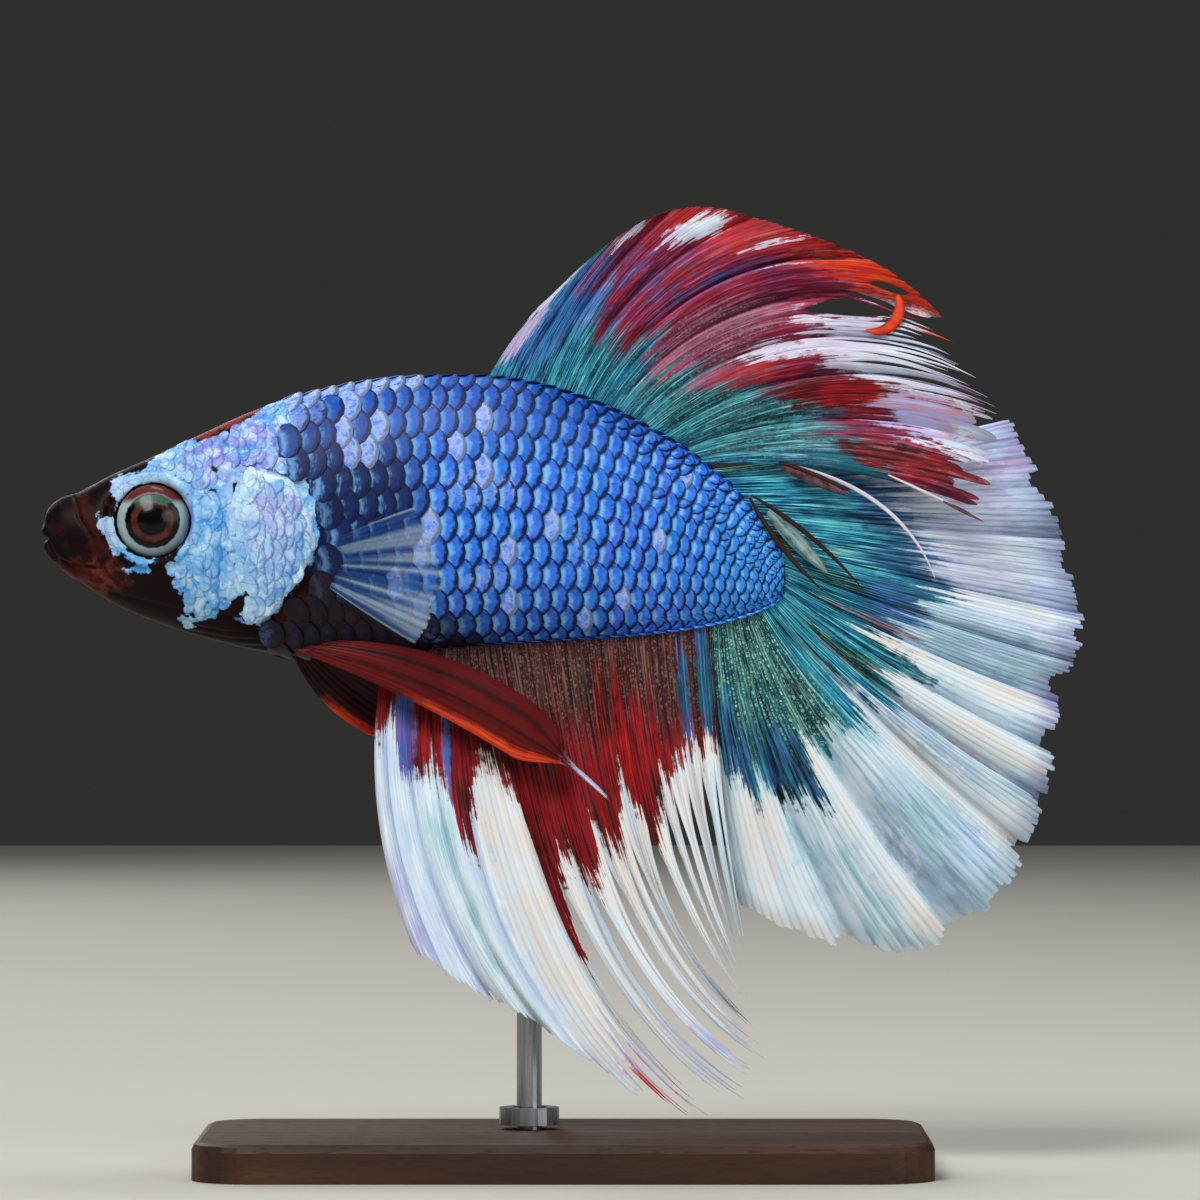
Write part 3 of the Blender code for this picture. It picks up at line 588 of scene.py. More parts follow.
def strand_ribbons(strands, steps=40):
    """Loose strips of a fin: each (x, z, y at its root and tip, heading at root and tip, lateness, length,
    half width, shade), flat across the line of sight and tapering."""
    rows = np.array(strands)[:, :, None]
    share = np.linspace(0, 1, steps + 1)[None, :]
    x, z, near, far, start, finish, late, length, width, shade = np.moveaxis(rows, 1, 0)
    heading = np.radians(start + (finish - start) * share**late)
    stride = length / steps
    at_x = x + np.cumsum(np.cos(heading) * stride, axis=1)
    at_z = z + np.cumsum(np.sin(heading) * stride, axis=1)
    y = near + (far - near) * share
    body = width * np.sin(math.pi * np.clip(0.12 + 0.86 * share, 0, 1)) ** 0.8
    side = np.stack([-np.sin(heading), 0 * heading, np.cos(heading)], axis=-1)[:, :, None, :]
    out = np.array([0.0, -1.0, 0.0])
    middle = np.stack([at_x, y, at_z], axis=-1)[:, :, None, :]
    loop = (body[..., None] * LOOP)[..., None]
    bump = (np.minimum(0.5 * body, 0.1)[..., None] * LOOP_HEIGHT)[..., None]
    rng = np.random.default_rng(3)
    point = middle + side * loop + out * bump
    place = 0.5 + 0.015 * LOOP + 0.07 * np.arange(len(rows))[:, None, None] + 0 * loop[..., 0]
    return carried(point, place, 0 * place + 0.2 * share[..., None], rng, shade=shade[..., None])


def tongues_field(places, made):
    """About how far a fin's points lie inside tongues, each (place, half width, start, end) on the rays."""
    u, v, luck = made["u"], made["v"], made["luck"]
    field = np.full(u.shape, -1.0)
    for centre, half, start, end in places:
        off = np.abs(u - centre) / half
        across = (1 - off) * half * 2
        along = np.minimum(v - start - 0.08 * off**2, end - 0.12 * off**2 - v)
        field = np.maximum(field, np.minimum(across, along + 0.12 * (luck - 0.5) + 0.02 * made["crest"]))
    return field


def beyond_field(table, made, jitter):
    """How far the rays' points lie beyond an edge of (place, share of the ray), in flame-like points."""
    u, v = made["u"], made["v"]
    flame = 0.5 * np.sin(u * 97) * np.sin(u * 41 + 1.3)
    flame = flame + 1.3 * (made["luck"] - 0.5) + 0.3 * np.sin(u * 211 + 0.5)
    return v - along_table(table, u) + jitter * flame - 0.03 * made["crest"]


# ---------------------------------------------------------------- meshes


def ring_mesh(name, vertices, index, ends):
    """A smooth closed mesh through rings of vertices, with faces over its ends, all turned outward."""
    after = np.roll(index, -1, axis=-1)
    sides = (index[..., :-1, :], after[..., :-1, :], after[..., 1:, :], index[..., 1:, :])
    quads = np.stack(sides, axis=-1).reshape(-1, 4)
    a, b, c, d = (vertices[quads[:, k]] for k in range(4))
    volume = (a * (np.cross(b, c) + np.cross(c, d))).sum()
    faces = [tuple(face) if volume > 0 else tuple(reversed(face)) for face in quads.tolist() + ends]
    mesh = bpy.data.meshes.new(name)
    mesh.from_pydata(placed(vertices).tolist(), [], faces)
    mesh.shade_smooth()
    return mesh


def tipped_mesh(name, rings, tips):
    """A closed mesh through rings of points, drawn together to one point at each end, and its vertices."""
    vertices = np.concatenate([rings.reshape(-1, 3), tips])
    index = np.arange(len(vertices) - 2).reshape(-1, rings.shape[1])
    first, last = index[0].tolist(), index[-1].tolist()
    ends = [(len(vertices) - 2, b, a) for a, b in zip(first, first[1:] + first[:1])]
    ends += [(len(vertices) - 1, a, b) for a, b in zip(last, last[1:] + last[:1])]
    return ring_mesh(name, vertices, index, ends), vertices


def carry(mesh, name, values, kind="FLOAT"):
    """Gives every vertex a value that the materials read."""
    attribute = mesh.attributes.new(name, kind, "POINT")
    key = "value" if kind == "FLOAT" else "vector"
    attribute.data.foreach_set(key, np.asarray(values, np.float32).ravel())


def carried_vectors(mesh, name):
    found = np.empty(len(mesh.vertices) * 3, np.float32)
    mesh.attributes[name].data.foreach_get("vector", found)
    return found.reshape(-1, 3)


def bake_map(mesh, per_loop):
    layer = mesh.uv_layers.new(name="OFBake")
    layer.data.foreach_set("uv", np.asarray(per_loop, np.float32).ravel())


def corner_vertices(mesh):
    """The vertex at every corner of the faces."""
    found = np.empty(len(mesh.loops), np.int64)
    mesh.loops.foreach_get("vertex_index", found)
    return found


def past_seam(mesh, place, widest):
    """Which corners at place 0 of a closed loop belong to faces that close it, and so stand for its end."""
    starts = np.empty(len(mesh.polygons), np.int64)
    mesh.polygons.foreach_get("loop_start", starts)
    owner = np.repeat(np.arange(len(starts)), np.diff(np.append(starts, len(place))))
    width = np.maximum.reduceat(place, starts) - np.minimum.reduceat(place, starts)
    return (width[owner] > widest) & (place == 0)


def add_piece(name, mesh, material, nodes):
    """A finished piece: it rides on the frame and stands for these CAD nodes."""
    piece = bpy.data.objects.new(name, mesh)
    bpy.context.scene.collection.objects.link(piece)
    if material:
        mesh.materials.append(material)
    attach(piece, "root")
    if nodes:
        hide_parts(*nodes)
    return piece


def ribbon_mesh(name, made, fields):
    """One mesh of all the rays, each a closed ribbon; its bake map has a column for each ray, unrolled."""
    count, steps, around = made["point"].shape[:3]
    index = np.arange(count * steps * around).reshape(count, steps, around)
    ends = index[:, 0, ::-1].tolist() + index[:, -1].tolist()
    mesh = ring_mesh(name, made["point"].reshape(-1, 3), index, ends)
    mesh.set_sharp_from_angle(angle=math.radians(75))
    for key, values in {**made, **fields}.items():
        if key != "point":
            carry(mesh, key, values)
    corner = corner_vertices(mesh)
    ray, turn = corner // (steps * around), corner % around
    turn = turn + around * past_seam(mesh, turn, 1)
    column = (ray + 0.06 + 0.88 * turn / around) / count
    row = 0.01 + 0.98 * ((corner // around) % steps) / (steps - 1)
    bake_map(mesh, np.stack([column, row], axis=-1))
    return mesh


# ---------------------------------------------------------------- nodes and materials


def add(tree, kind, inputs=None, **settings):
    """Adds a node with its settings, and with inputs that are values or the sockets that feed them."""
    node = tree.nodes.new(kind)
    for name, value in settings.items():
        setattr(node, name, value)
    fill(tree, node, inputs or {})
    return node


def fill(tree, node, inputs):
    for key, value in inputs.items():
        if isinstance(value, bpy.types.NodeSocket):
            tree.links.new(value, node.inputs[key])
        else:
            node.inputs[key].default_value = value


class Paint:
    """Builds one material. A colour may be given by its name in the settings, a number by its attribute's."""

    def __init__(self, name, colours):
        self.material = bpy.data.materials.new(name)
        self.material.use_nodes = True
        self.tree, self.colours = self.material.node_tree, colours
        self.place = add(self.tree, "ShaderNodeTexCoord").outputs["Object"]

    def read(self, given):
        if isinstance(given, str):
            return add(self.tree, "ShaderNodeAttribute", attribute_name=given).outputs["Fac"]
        return given

    def tint(self, given):
        return (*getattr(self.colours, given), 1.0) if isinstance(given, str) else given

    def stretched(self, *scale):
        return add(self.tree, "ShaderNodeMapping", {"Vector": self.place, "Scale": scale}).outputs[0]

    def noise(self, size, detail, roughness=0.5, out="Fac", at=None, unit=MM):
        """Noise with features of a size in millimetres, or in units of the place that it is read at."""
        inputs = {"Vector": at or self.place, "Scale": 1 / (size * unit)}
        inputs |= {"Detail": detail, "Roughness": roughness}
        return add(self.tree, "ShaderNodeTexNoise", inputs).outputs[out]

    def mix(self, factor, below, above, blend="MIX"):
        """A colour: below where factor is 0, above where it is 1."""
        inputs = {"Factor": self.read(factor), 6: self.tint(below), 7: self.tint(above)}
        how = {"data_type": "RGBA", "blend_type": blend, "clamp_factor": True}
        return add(self.tree, "ShaderNodeMix", inputs, **how).outputs[2]

    def coat(self, base, tint, value, low, high, most=1.0):
        """The base colour under a tint that shows where the value is high, and at most this much."""
        return self.mix(self.between(value, low, high, 0.0, most), base, tint)

    def blend(self, factor, below, above):
        return add(self.tree, "ShaderNodeMix", {"Factor": factor, 2: below, 3: above}).outputs[0]

    def between(self, value, low, high, to_low=0.0, to_high=1.0):
        """A smooth step: to_low where the value is low, to_high where it is high."""
        inputs = {"Value": self.read(value), "From Min": low, "From Max": high}
        inputs |= {"To Min": to_low, "To Max": to_high}
        return add(self.tree, "ShaderNodeMapRange", inputs, interpolation_type="SMOOTHSTEP").outputs["Result"]

    def math(self, how, first, *others):
        for other in others:
            inputs = {0: self.read(first), 1: self.read(other)}
            first = add(self.tree, "ShaderNodeMath", inputs, operation=how).outputs[0]
        return first

    def plus(self, *values):
        return self.math("ADD", *values)

    def times(self, *values):
        return self.math("MULTIPLY", *values)

    def most(self, *values):
        return self.math("MAXIMUM", *values)

    def finish(self, colour, rough, ior=1.5, specular=0.5, coat=0.0, coat_rough=0.03, bump=None, more=None):
        """Sets the shader's own sockets and gives the material; bump is (height, strength, depth)."""
        inputs = {
            "Base Color": self.tint(colour), "Roughness": rough, "IOR": ior, "Specular IOR Level": specular,
            "Coat Weight": coat, "Coat Roughness": coat_rough, **(more or {}),
        }  # fmt: skip
        if bump:
            bump = dict(zip(("Height", "Strength", "Distance"), (*bump[:2], bump[2] * MM)))
            inputs["Normal"] = add(self.tree, "ShaderNodeBump", bump).outputs[0]
        fill(self.tree, self.tree.nodes["Principled BSDF"], inputs)
        return self.material


def mask_colour(m, fine, broad):
    """The head's pale mask: reflecting cells in a mosaic with painted highlights in their middles, and broken
    darker seams.
    """
    warp = m.noise(0.6, 2.0, out="Color")
    bent = {0: warp, 1: (0.45 * MM,) * 3, 2: m.place}
    bent = add(m.tree, "ShaderNodeVectorMath", bent, operation="MULTIPLY_ADD").outputs[0]
    packed = {"Vector": bent, "Scale": 1 / (0.72 * MM), "Randomness": 1.0}
    cells = add(m.tree, "ShaderNodeTexVoronoi", {**packed, "Smoothness": 0.45}, feature="SMOOTH_F1")
    gaps = add(m.tree, "ShaderNodeTexVoronoi", packed, feature="DISTANCE_TO_EDGE").outputs["Distance"]
    chosen = add(m.tree, "ShaderNodeSeparateColor", {0: cells.outputs["Color"]}).outputs
    patch = m.noise(1.6, 2.5)
    region = m.plus(broad, m.times("lilac", 0.14))
    face = m.mix(m.between(region, 0.42, 0.62), "mask_blue", "mask_lilac")
    face = m.coat(face, "mask_deep", patch, 0.46, 0.36, 0.85)
    face = m.coat(face, "mask_bright", patch, 0.53, 0.66, 0.55)
    face = m.coat(face, "mask_white", chosen[0], 0.4, 0.8, 0.5)
    face = m.coat(face, "mask_deep", chosen[1], 0.6, 1.0, 0.4)
    # painted highlight in the middle of each cell
    middle = m.times(m.between(gaps, 0.12, 0.42), m.between(patch, 0.42, 0.6))
    face = m.mix(m.times(middle, 0.4), face, "mask_bright")
    face = m.coat(face, "mask_bright", fine, 0.56, 0.68, 0.5)
    face = m.coat(face, "mask_front", "front", 0.0, 3.0, 0.6)
    face = m.mix(m.times("plate", 0.26), face, "mask_bright")
    face = m.coat(face, "mask_bright", "rim", 0.0, 0.3, 0.75)
    line = m.times(m.between(gaps, 0.08, 0.0), m.between(fine, 0.6, 0.44, 0.0, 0.5))
    # painted shade along the cheek groove, drawn in the seams' colour
    groove = m.plus("groove", m.between(fine, 0.35, 0.65, -0.3, 0.12))
    line = m.most(line, m.between(groove, -0.05, 0.12, 0.0, 0.6))
    return m.mix(line, face, "mask_seam"), gaps


def skin_material(colours):
    """Fish skin: a wet, thin clear layer over pigment cells. On the head pale reflecting cells lie in plates
    over dark skin, so the eye sees a fine net of darker seams, ragged edges and a moist shine."""
    m = Paint("wet_fish_skin", colours)
    fine = m.noise(1.1, 5.0, 0.62)
    broad = m.noise(5, 3.0)
    ragged = m.between(fine, 0.3, 0.7, -0.32, 0.32)
    dark = m.mix(m.between(broad, 0.4, 0.65), "snout", "cheek")
    dark = m.coat(dark, "muzzle", "muzzle", -0.8, 0.6)
    dark = m.coat(dark, "jaw_red", fine, 0.5, 0.7, 0.5)
    dark = m.coat(dark, "maxilla", m.plus("maxilla", ragged), -0.1, 0.3, 0.75)
    warm = m.between(m.plus("warm", ragged), -0.5, 0.7)
    mottle = m.mix(m.between(fine, 0.45, 0.62), "jaw_red", "jaw_light")
    dark = m.mix(warm, dark, mottle)
    flank = m.mix(m.between("belly", -0.8, 0.6), "scale_gap", dark)
    base = m.mix(m.between("trunk", -0.4, 0.4), dark, flank)

    tone, gaps = mask_colour(m, fine, broad)
    seam = m.between(gaps, 0.0, 0.09, 1.0, 0.0)
    mask = m.between(m.plus("mask", ragged), -0.06, 0.08)
    base = m.mix(mask, base, tone)
    base = m.coat(base, "crown_red", m.plus("crown", ragged), 0.05, 0.25)

    furrow = m.times(m.times(seam, -0.5), mask)
    height = m.plus(furrow, m.times(fine, 0.7))
    rough = m.between(fine, 0.3, 0.7, 0.42, 0.62)
    return m.finish(base, rough, ior=1.38, specular=0.1, coat=0.03, coat_rough=0.3, bump=(height, 0.5, 0.12))


def scale_material(colours):
    """A bony scale under thin skin with guanine crystals: satin, strongly blue by reflection, lightest where
    it leaves the scale in front and almost black at its free rim, partly from pigment and partly from painted
    shade under the lifted rim. Painted shade also darkens the lower body and the upper back, and a painted
    shadow lies behind the gill cover's rear edge."""
    m = Paint("guanine_scale", colours)
    blade = add(m.tree, "ShaderNodeAttribute", attribute_name="blade").outputs["Vector"]
    _, across, rim = add(m.tree, "ShaderNodeSeparateXYZ", {0: blade}).outputs
    grain = m.noise(0.45, 4.0, 0.65)
    broad = m.noise(2.6, 2.0)
    tint = m.noise(0.45, 4.0, 0.65, out="Color")
    uneven = m.plus(rim, m.between(grain, 0.3, 0.7, -0.09, 0.09))

    body = m.mix(m.between(grain, 0.35, 0.65), "royal", "royal_light")
    body = m.coat(body, "violet_blue", "luck", 0.5, 1.0, 0.5)
    body = m.coat(body, "sea_blue", broad, 0.5, 0.7, 0.6)
    body = m.coat(body, "navy", "navy", -0.6, 1.2)
    body = m.coat(body, "tail_cyan", "tail", -2.0, 3.0)
    belly = m.mix(m.between(grain, 0.4, 0.6), "belly_dark", "belly_red")
    # painted shade: the lower body darker towards the belly
    body = m.coat(body, "navy", "shade", 0.0, 1.0, 0.35)
    # painted shade: the upper back darkened towards a deeper blue
    body = m.mix(m.times("back", 0.85), body, "back_blue")
    long = m.stretched(1.0, 1.0, 0.35)
    thread = m.noise(0.14, 4.0, at=long)
    streaks = m.times(m.between(thread, 0.42, 0.7, 0.0, 0.8), m.between("navy", -0.4, 0.8))
    streaks = m.times(streaks, m.between(uneven, 0.45, 1.0), m.between("luck", 0.1, 0.9, 0.2, 1.0))
    body = m.mix(streaks, body, "navy_light")
    dim = m.between("belly", -1.2, 1.2)
    body = m.mix(m.times(dim, 0.94), body, belly)

    light = m.mix(m.between("navy", -0.6, 1.2), "scale_light", "navy_light")
    light = m.mix(dim, light, "belly_red")
    wide = m.between(uneven, 0.62, 0.98, 0.0, 0.85)
    slim = m.between(uneven, 0.8, 1.25, 0.0, 0.75)
    front = m.blend(m.between("navy", -0.6, 1.0), wide, slim)
    # the painted shade of the upper back also dims the light fronts there
    front = m.times(front, m.between(uneven, 1.5, 1.2), m.between("back", 0.0, 1.0, 1.0, 0.42))
    body = m.mix(front, body, light)
    pale = m.mix(m.between(grain, 0.44, 0.62), "galaxy", "royal_light")
    pale = m.coat(pale, "mask_lilac", tint, 0.5, 0.62, 0.7)
    pale = m.coat(pale, "mask_bright", uneven, 0.4, 0.25, 0.4)
    cloud = m.noise(3.2, 1.5)
    cloud = m.times(m.between(cloud, 0.58, 0.7, 0.0, 0.75), m.between(grain, 0.4, 0.6))
    # fewer pale clouds on the navy patch, and under the painted shade of the upper back
    cloud = m.times(cloud, m.between("navy", 0.0, -1.0), m.between("back", 0.0, 0.6, 1.0, 0.15))
    nape = m.between(m.plus("nape", grain), 0.3, 0.9, 0.0, 0.85)
    cloud = m.most(cloud, nape)
    spots = m.between(m.plus("pale", grain), 1.0, 1.6, 0.0, 0.9)
    # painted shadow behind and under the gill cover's rear edge, in the belly's dark colour
    body = m.coat(body, "belly_dark", "band", 0.0, 0.9, 0.8)
    body = m.mix(m.most(spots, cloud), body, pale)

    face, gaps = mask_colour(m, grain, broad)
    body = m.mix("head", body, face)

    # the dark free rim: partly pigment and partly painted shade under the lifted rim, a little wider on its
    # lower side
    edge = m.between(m.plus(uneven, m.times(across, 0.1)), 0.36, 0.12)
    keep = m.times(m.between("pale", 0.0, 1.0, 0.95, 0.65), m.between("head", 0.0, 1.0, 1.0, 0.4))
    edge = m.times(edge, keep)
    free = m.mix(dim, "scale_rim", "belly_dark")
    body = m.mix(edge, body, free)
    seam = m.times(m.between(uneven, 0.2, 0.06, 0.0, 0.35), "head", m.between(gaps, 0.3, 0.15))
    body = m.mix(seam, body, "mask_seam")
    rough = m.between(grain, 0.3, 0.7, 0.42, 0.58)
    return m.finish(body, rough, ior=1.45, specular=0.18, coat=0.03, coat_rough=0.25, bump=(grain, 0.4, 0.05))


WHITE = (1.0, 1.0, 1.0, 1.0)


class Layer(NamedTuple):
    """A colour laid on a fin where its field is above an edge, in two tones, with its shares of bright needles
    and grains that the glint colours. The needles' share also sets how strongly painted shade and painted
    highlights mark the folds."""

    field: str
    edge: float
    tint: str
    second: str
    metallic: float = 0.0
    needles: float = 0.0
    glint: object = WHITE
    grains: float = 0.0


STREAKS_ACROSS = 210.0  # streaks of pigment from a fin's first ray to its last


def fin_material(name, base, layers, colours, wet=0.03, clear=0.0, sheer=0.0):
    """Fin membrane on jointed bony rays: thin satin skin. Pigment and reflecting cells sit in streaks along the
    rays, so the eye sees needles of colour and bright grains where the fin is dark teal. Painted shade darkens
    the hollows between the rays, so each ray's crest looks lighter, and the far end of each fold, under the
    next;
    a painted highlight lies along the rounded start of each fold."""
    m = Paint(name, colours)
    crest, luck, share, silk = (m.read(key) for key in ("crest", "luck", "v", "silk"))
    across = m.times("u", STREAKS_ACROSS)
    drawn = add(m.tree, "ShaderNodeCombineXYZ", {0: across, 1: m.times(share, 6.0)}).outputs[0]
    streak = m.noise(1.0, 4.0, 0.6, at=drawn, unit=1)
    thin = add(m.tree, "ShaderNodeCombineXYZ", {0: across, 1: m.times(share, 7.0), 2: luck}).outputs[0]
    needle = m.noise(1 / 0.9, 4.0, 0.7, at=thin, unit=1)
    packed = {"Vector": m.place, "Scale": 1 / (0.26 * MM), "Randomness": 0.9}
    grains = add(m.tree, "ShaderNodeTexVoronoi", packed)
    gaps = add(m.tree, "ShaderNodeTexVoronoi", packed, feature="DISTANCE_TO_EDGE")
    chosen = add(m.tree, "ShaderNodeSeparateColor", {0: grains.outputs["Color"]}).outputs[0]
    grain = m.between(gaps.outputs["Distance"], 0.03, 0.22)
    grain = m.times(grain, m.between(chosen, 0.0, 1.0, 0.2, 1.0), m.between(crest, 0.25, 0.8, 0.1, 1.0))
    fuzz = m.noise(0.7, 4.0, 0.65)
    broad = m.noise(3.5, 2.0)
    wobble = m.plus(m.between(streak, 0.3, 0.7, -0.04, 0.04), m.between(fuzz, 0.3, 0.7, -0.02, 0.02))
    mottled = m.plus(m.times(streak, 0.65), m.times(broad, 0.35))

    colour, metal, bright, spotted, glint = base, 0.0, 0.0, 0.0, WHITE
    for layer in layers:
        cover = m.between(m.plus(layer.field, wobble), -layer.edge, layer.edge)
        tone = m.mix(m.between(mottled, 0.42, 0.58), layer.tint, layer.second)
        colour = m.mix(cover, colour, tone)
        metal = m.blend(cover, metal, layer.metallic)
        bright = m.blend(cover, bright, layer.needles)
        spotted = m.blend(cover, spotted, layer.grains)
        glint = m.mix(cover, glint, layer.glint)
    light = m.between(add(m.tree, "ShaderNodeRGBToBW", {0: colour}).outputs[0], 0.12, 0.4)
    # dusk is the painted shade's colour: fin_hollow on dark fins, fin_shade on light ones; deep is the colour
    # darkened by fin_hollow
    dusk = m.mix(light, "fin_hollow", "fin_shade")
    deep = m.mix(1.0, colour, "fin_hollow", "MULTIPLY")
    # painted shade towards the far end of each fold, in the crease under the next
    crease = m.times(m.between("fold", 0.55, 0.95, 0.0, 0.85), bright)
    colour = m.mix(m.times(crease, m.between(broad, 0.35, 0.6)), colour, deep)
    dark_needle = m.times(m.between(needle, 0.5, 0.39), bright)
    colour = m.mix(m.most(dark_needle, m.times(spotted, 0.8)), colour, deep)
    light_needle = m.times(m.between(needle, 0.51, 0.63), bright)
    # painted highlight along the rounded start of each fold
    ridge = m.times(m.between("fold", 0.35, 0.08, 0.0, 0.4), bright)
    light_needle = m.most(light_needle, m.times(ridge, m.between(fuzz, 0.35, 0.6)))
    shine = m.most(light_needle, m.times(grain, spotted))
    colour = m.mix(shine, colour, glint)
    # painted shade in the hollows between the rays, so each ray's crest looks lighter; silk smooths it away
    rough_side = m.between(silk, 0.0, 1.0, 1.0, 0.0)
    hollow = m.times(m.between(crest, 0.0, 0.7, 0.7, 0.0), rough_side)
    colour = m.mix(hollow, colour, m.mix(1.0, colour, dusk, "MULTIPLY"))
    # painted shadow under the next fold's edge; low darkens random rays
    under = m.times(m.between("fold", 0.7, 1.0, 0.0, 0.75), m.between(share, 0.1, 0.5))
    under = m.times(under, m.between(silk, 0.0, 1.0, 1.0, 0.45))
    low = m.times(m.between(luck, 0.5, 0.0, 0.0, 0.5), rough_side)
    shaded = m.mix(1.0, colour, "fin_shade", "MULTIPLY")
    colour = m.mix(m.most(under, low), colour, shaded)
    alpha = 1.0
    if clear:
        alpha = m.between(crest, 0.0, 1.0, 1 - clear, 1 - 0.82 * clear)
    if sheer:
        alpha = m.between("end", 0.9, 1.0, 1.0, 1 - sheer)
    rough = m.between(streak, 0.3, 0.7, 0.42, 0.58)
    bump, more = (streak, 0.5, 0.08), {"Metallic": metal, "Alpha": alpha}
    return m.finish(colour, rough, ior=1.4, specular=0.2, coat=wet, coat_rough=0.25, bump=bump, more=more)


def eye_material(colours):
    """A fish eye: the wet clear cornea over a silver and brown iris, and the black lens in the pupil, with a
    painted shadow round its edge, where it sits in its socket.
    """
    m = Paint("wet_eye", colours)
    speck = m.noise(0.25, 3.0)
    spoke = m.noise(0.5, 2.0)
    edge = m.plus("ring", m.between(speck, 0.3, 0.7, -0.03, 0.03))
    brown = m.mix(m.between(spoke, 0.45, 0.7), "iris_brown", "iris_dark")
    colour = m.mix(m.between(edge, 0.84, 1.08), "pupil", brown)
    colour = m.coat(colour, "pupil", edge, 1.24, 1.42)
    green = m.times(m.between(m.plus("above", speck), 1.3, 1.7), m.between(edge, 0.98, 1.2))
    colour = m.mix(m.times(green, 0.5), colour, "iris_green")
    ring = m.mix(m.between(speck, 0.5, 0.8), "eye_ring", "eye_ring_deep")
    colour = m.coat(colour, ring, edge, 1.66, 1.78)
    brow = m.times(m.between("above", 0.95, 1.45), m.between(edge, 1.6, 1.85))
    colour = m.mix(brow, colour, "brow")
    # painted shadow: a dark ring round the eye's edge, in the snout's colour, where it sits in its socket
    colour = m.coat(colour, "snout", edge, 2.24, 2.3)
    return m.finish(colour, 0.25, ior=1.376, specular=0.2, coat=0.1, coat_rough=0.06)


def walnut_material(colours):
    """Oiled walnut, planed and sanded: long wandering grain lines with short pores, and a satin finish."""
    m = Paint("oiled_walnut", colours)
    long = m.stretched(0.12, 1.0, 1.0)
    wave = {"Vector": long, "Scale": 1 / (9 * MM), "Distortion": 7.0, "Detail": 3.0, "Detail Scale": 1.4}
    rings = add(m.tree, "ShaderNodeTexWave", wave, bands_direction="Y")
    pores = m.noise(0.16, 2.0, at=long)
    band = m.between(rings.outputs["Fac"], 0.1, 1.0, 0.15, 0.6)
    colour = m.mix(band, "walnut", "walnut_dark")
    pore = m.between(pores, 0.52, 0.66)
    colour = m.mix(m.times(pore, 0.25), colour, "walnut_dark")
    return m.finish(colour, m.between(pore, 0.0, 1.0, 0.55, 0.7), specular=0.25, bump=(pore, 0.12, -0.03))


def steel_material(colours):
    """Stainless steel rod, drawn and brushed: fine marks along its length stretch the highlights round it."""
    m = Paint("brushed_stainless_steel", colours)
    drawn = m.stretched(1.0, 1.0, 0.03)
    marks = m.noise(0.12, 2.0, at=drawn)
    rough = m.between(marks, 0.3, 0.7, 0.24, 0.42)
    return m.finish("steel", rough, bump=(marks, 0.15, 0.02), more={"Metallic": 1.0})


# ---------------------------------------------------------------- settings

# Colours in sRGB, under the parts that wear them
COLOURS = {
    "head": {
        "muzzle": "0d0709", "snout": "120506", "cheek": "120908", "maxilla": "35100f", "jaw_light": "5f2c26",
        "jaw_red": "3c0f0c", "crown_red": "7a1a1e", "mask_front": "b4c4d8", "mask_blue": "64a8dc",
        "mask_lilac": "8388d8", "mask_deep": "3a8cd6", "mask_white": "a6cfea", "mask_bright": "d3ecf6",
        "mask_seam": "4a6fc8",
    },
    "scales": {
        "scale_gap": "0b1a48", "royal": "1f62d4", "royal_light": "3a80ea", "violet_blue": "4660d8",
        # back_blue is the painted shade of the upper back
        "sea_blue": "1672c8", "tail_cyan": "2b86e0", "back_blue": "1246a4", "scale_light": "7cbcfa",
        # scale_rim is the scales' dark free rims, partly pigment and partly painted shade
        "scale_rim": "0a1338", "navy": "0c2056", "navy_light": "6aa4e0", "galaxy": "a9bdf0",
        "belly_dark": "06080e", "belly_red": "280c0a",
    },
    "fins": {
        "teal": "166272", "teal_light": "2aa3b8", "green_black": "071d20", "fin_blue": "2a5fae",
        "fin_navy": "4578b4", "fin_magenta": "7c3466", "fin_rose": "b64c74", "fin_periwinkle": "5f86d6",
        # far_red is painted shade: the far pelvic fin's red made darker, and the dark lines in the pelvic fins'
        # creases
        "fin_sky": "bcd2f0", "far_red": "2c0406", "fin_aqua": "7ce0e4", "green_deep": "12484c",
        "fin_blush": "cfc4da", "fin_plum": "641a42", "root_maroon": "5a141a", "fin_green": "17705e",
        "teal_grey": "4a6c6c", "fold_red": "6a1e1a", "fin_azure": "2e8abc", "pelvic_red": "5c0406",
        "fin_violet": "7a62b0", "fin_red": "9a0f1c", "fin_scarlet": "c4281f", "fin_maroon": "35090d",
        "fin_orange": "f0551a", "fin_white": "dcebf4", "fin_cream": "e8e0d8", "fin_ice": "a4cdda",
        "fin_lilac": "b4b4e4", "fin_pearl": "dad8fa", "fin_glint": "5cc8d8", "fold_brown": "3b2119",
        "fold_grey": "7d8c80", "grain_green": "8fd0bc", "grain_olive": "94786c", "fin_pink": "c08f9f",
        # fin_shade and fin_hollow are painted shade of the fins' hollows, creases and folds; fin_shade also
        # darkens random rays, fin_hollow the dark needles and the gaps round the grains
        "fin_shade": "bec8d6", "fin_hollow": "4a5c70",
    },
    "eyes": {
        "pupil": "040405", "iris_brown": "54291e", "iris_dark": "38190f", "iris_green": "4d7f70",
        "eye_ring": "98adb3", "eye_ring_deep": "6f8c9c", "brow": "5e2828",
    },
    "stand and studio": {
        "walnut": "4a3020", "walnut_dark": "1b100b", "steel": "a9acb0", "floor": "b9b6ad",
        "backdrop": "2f2f2d",
    },
}


def colour_setting(name, code, group):
    label = name.replace("_", " ")
    words = {"name": label.capitalize(), "description": f"Colour of the {group}: {label}"}
    return FloatVectorProperty(**words, subtype="COLOR", size=3, min=0, max=1, default=linear(code))


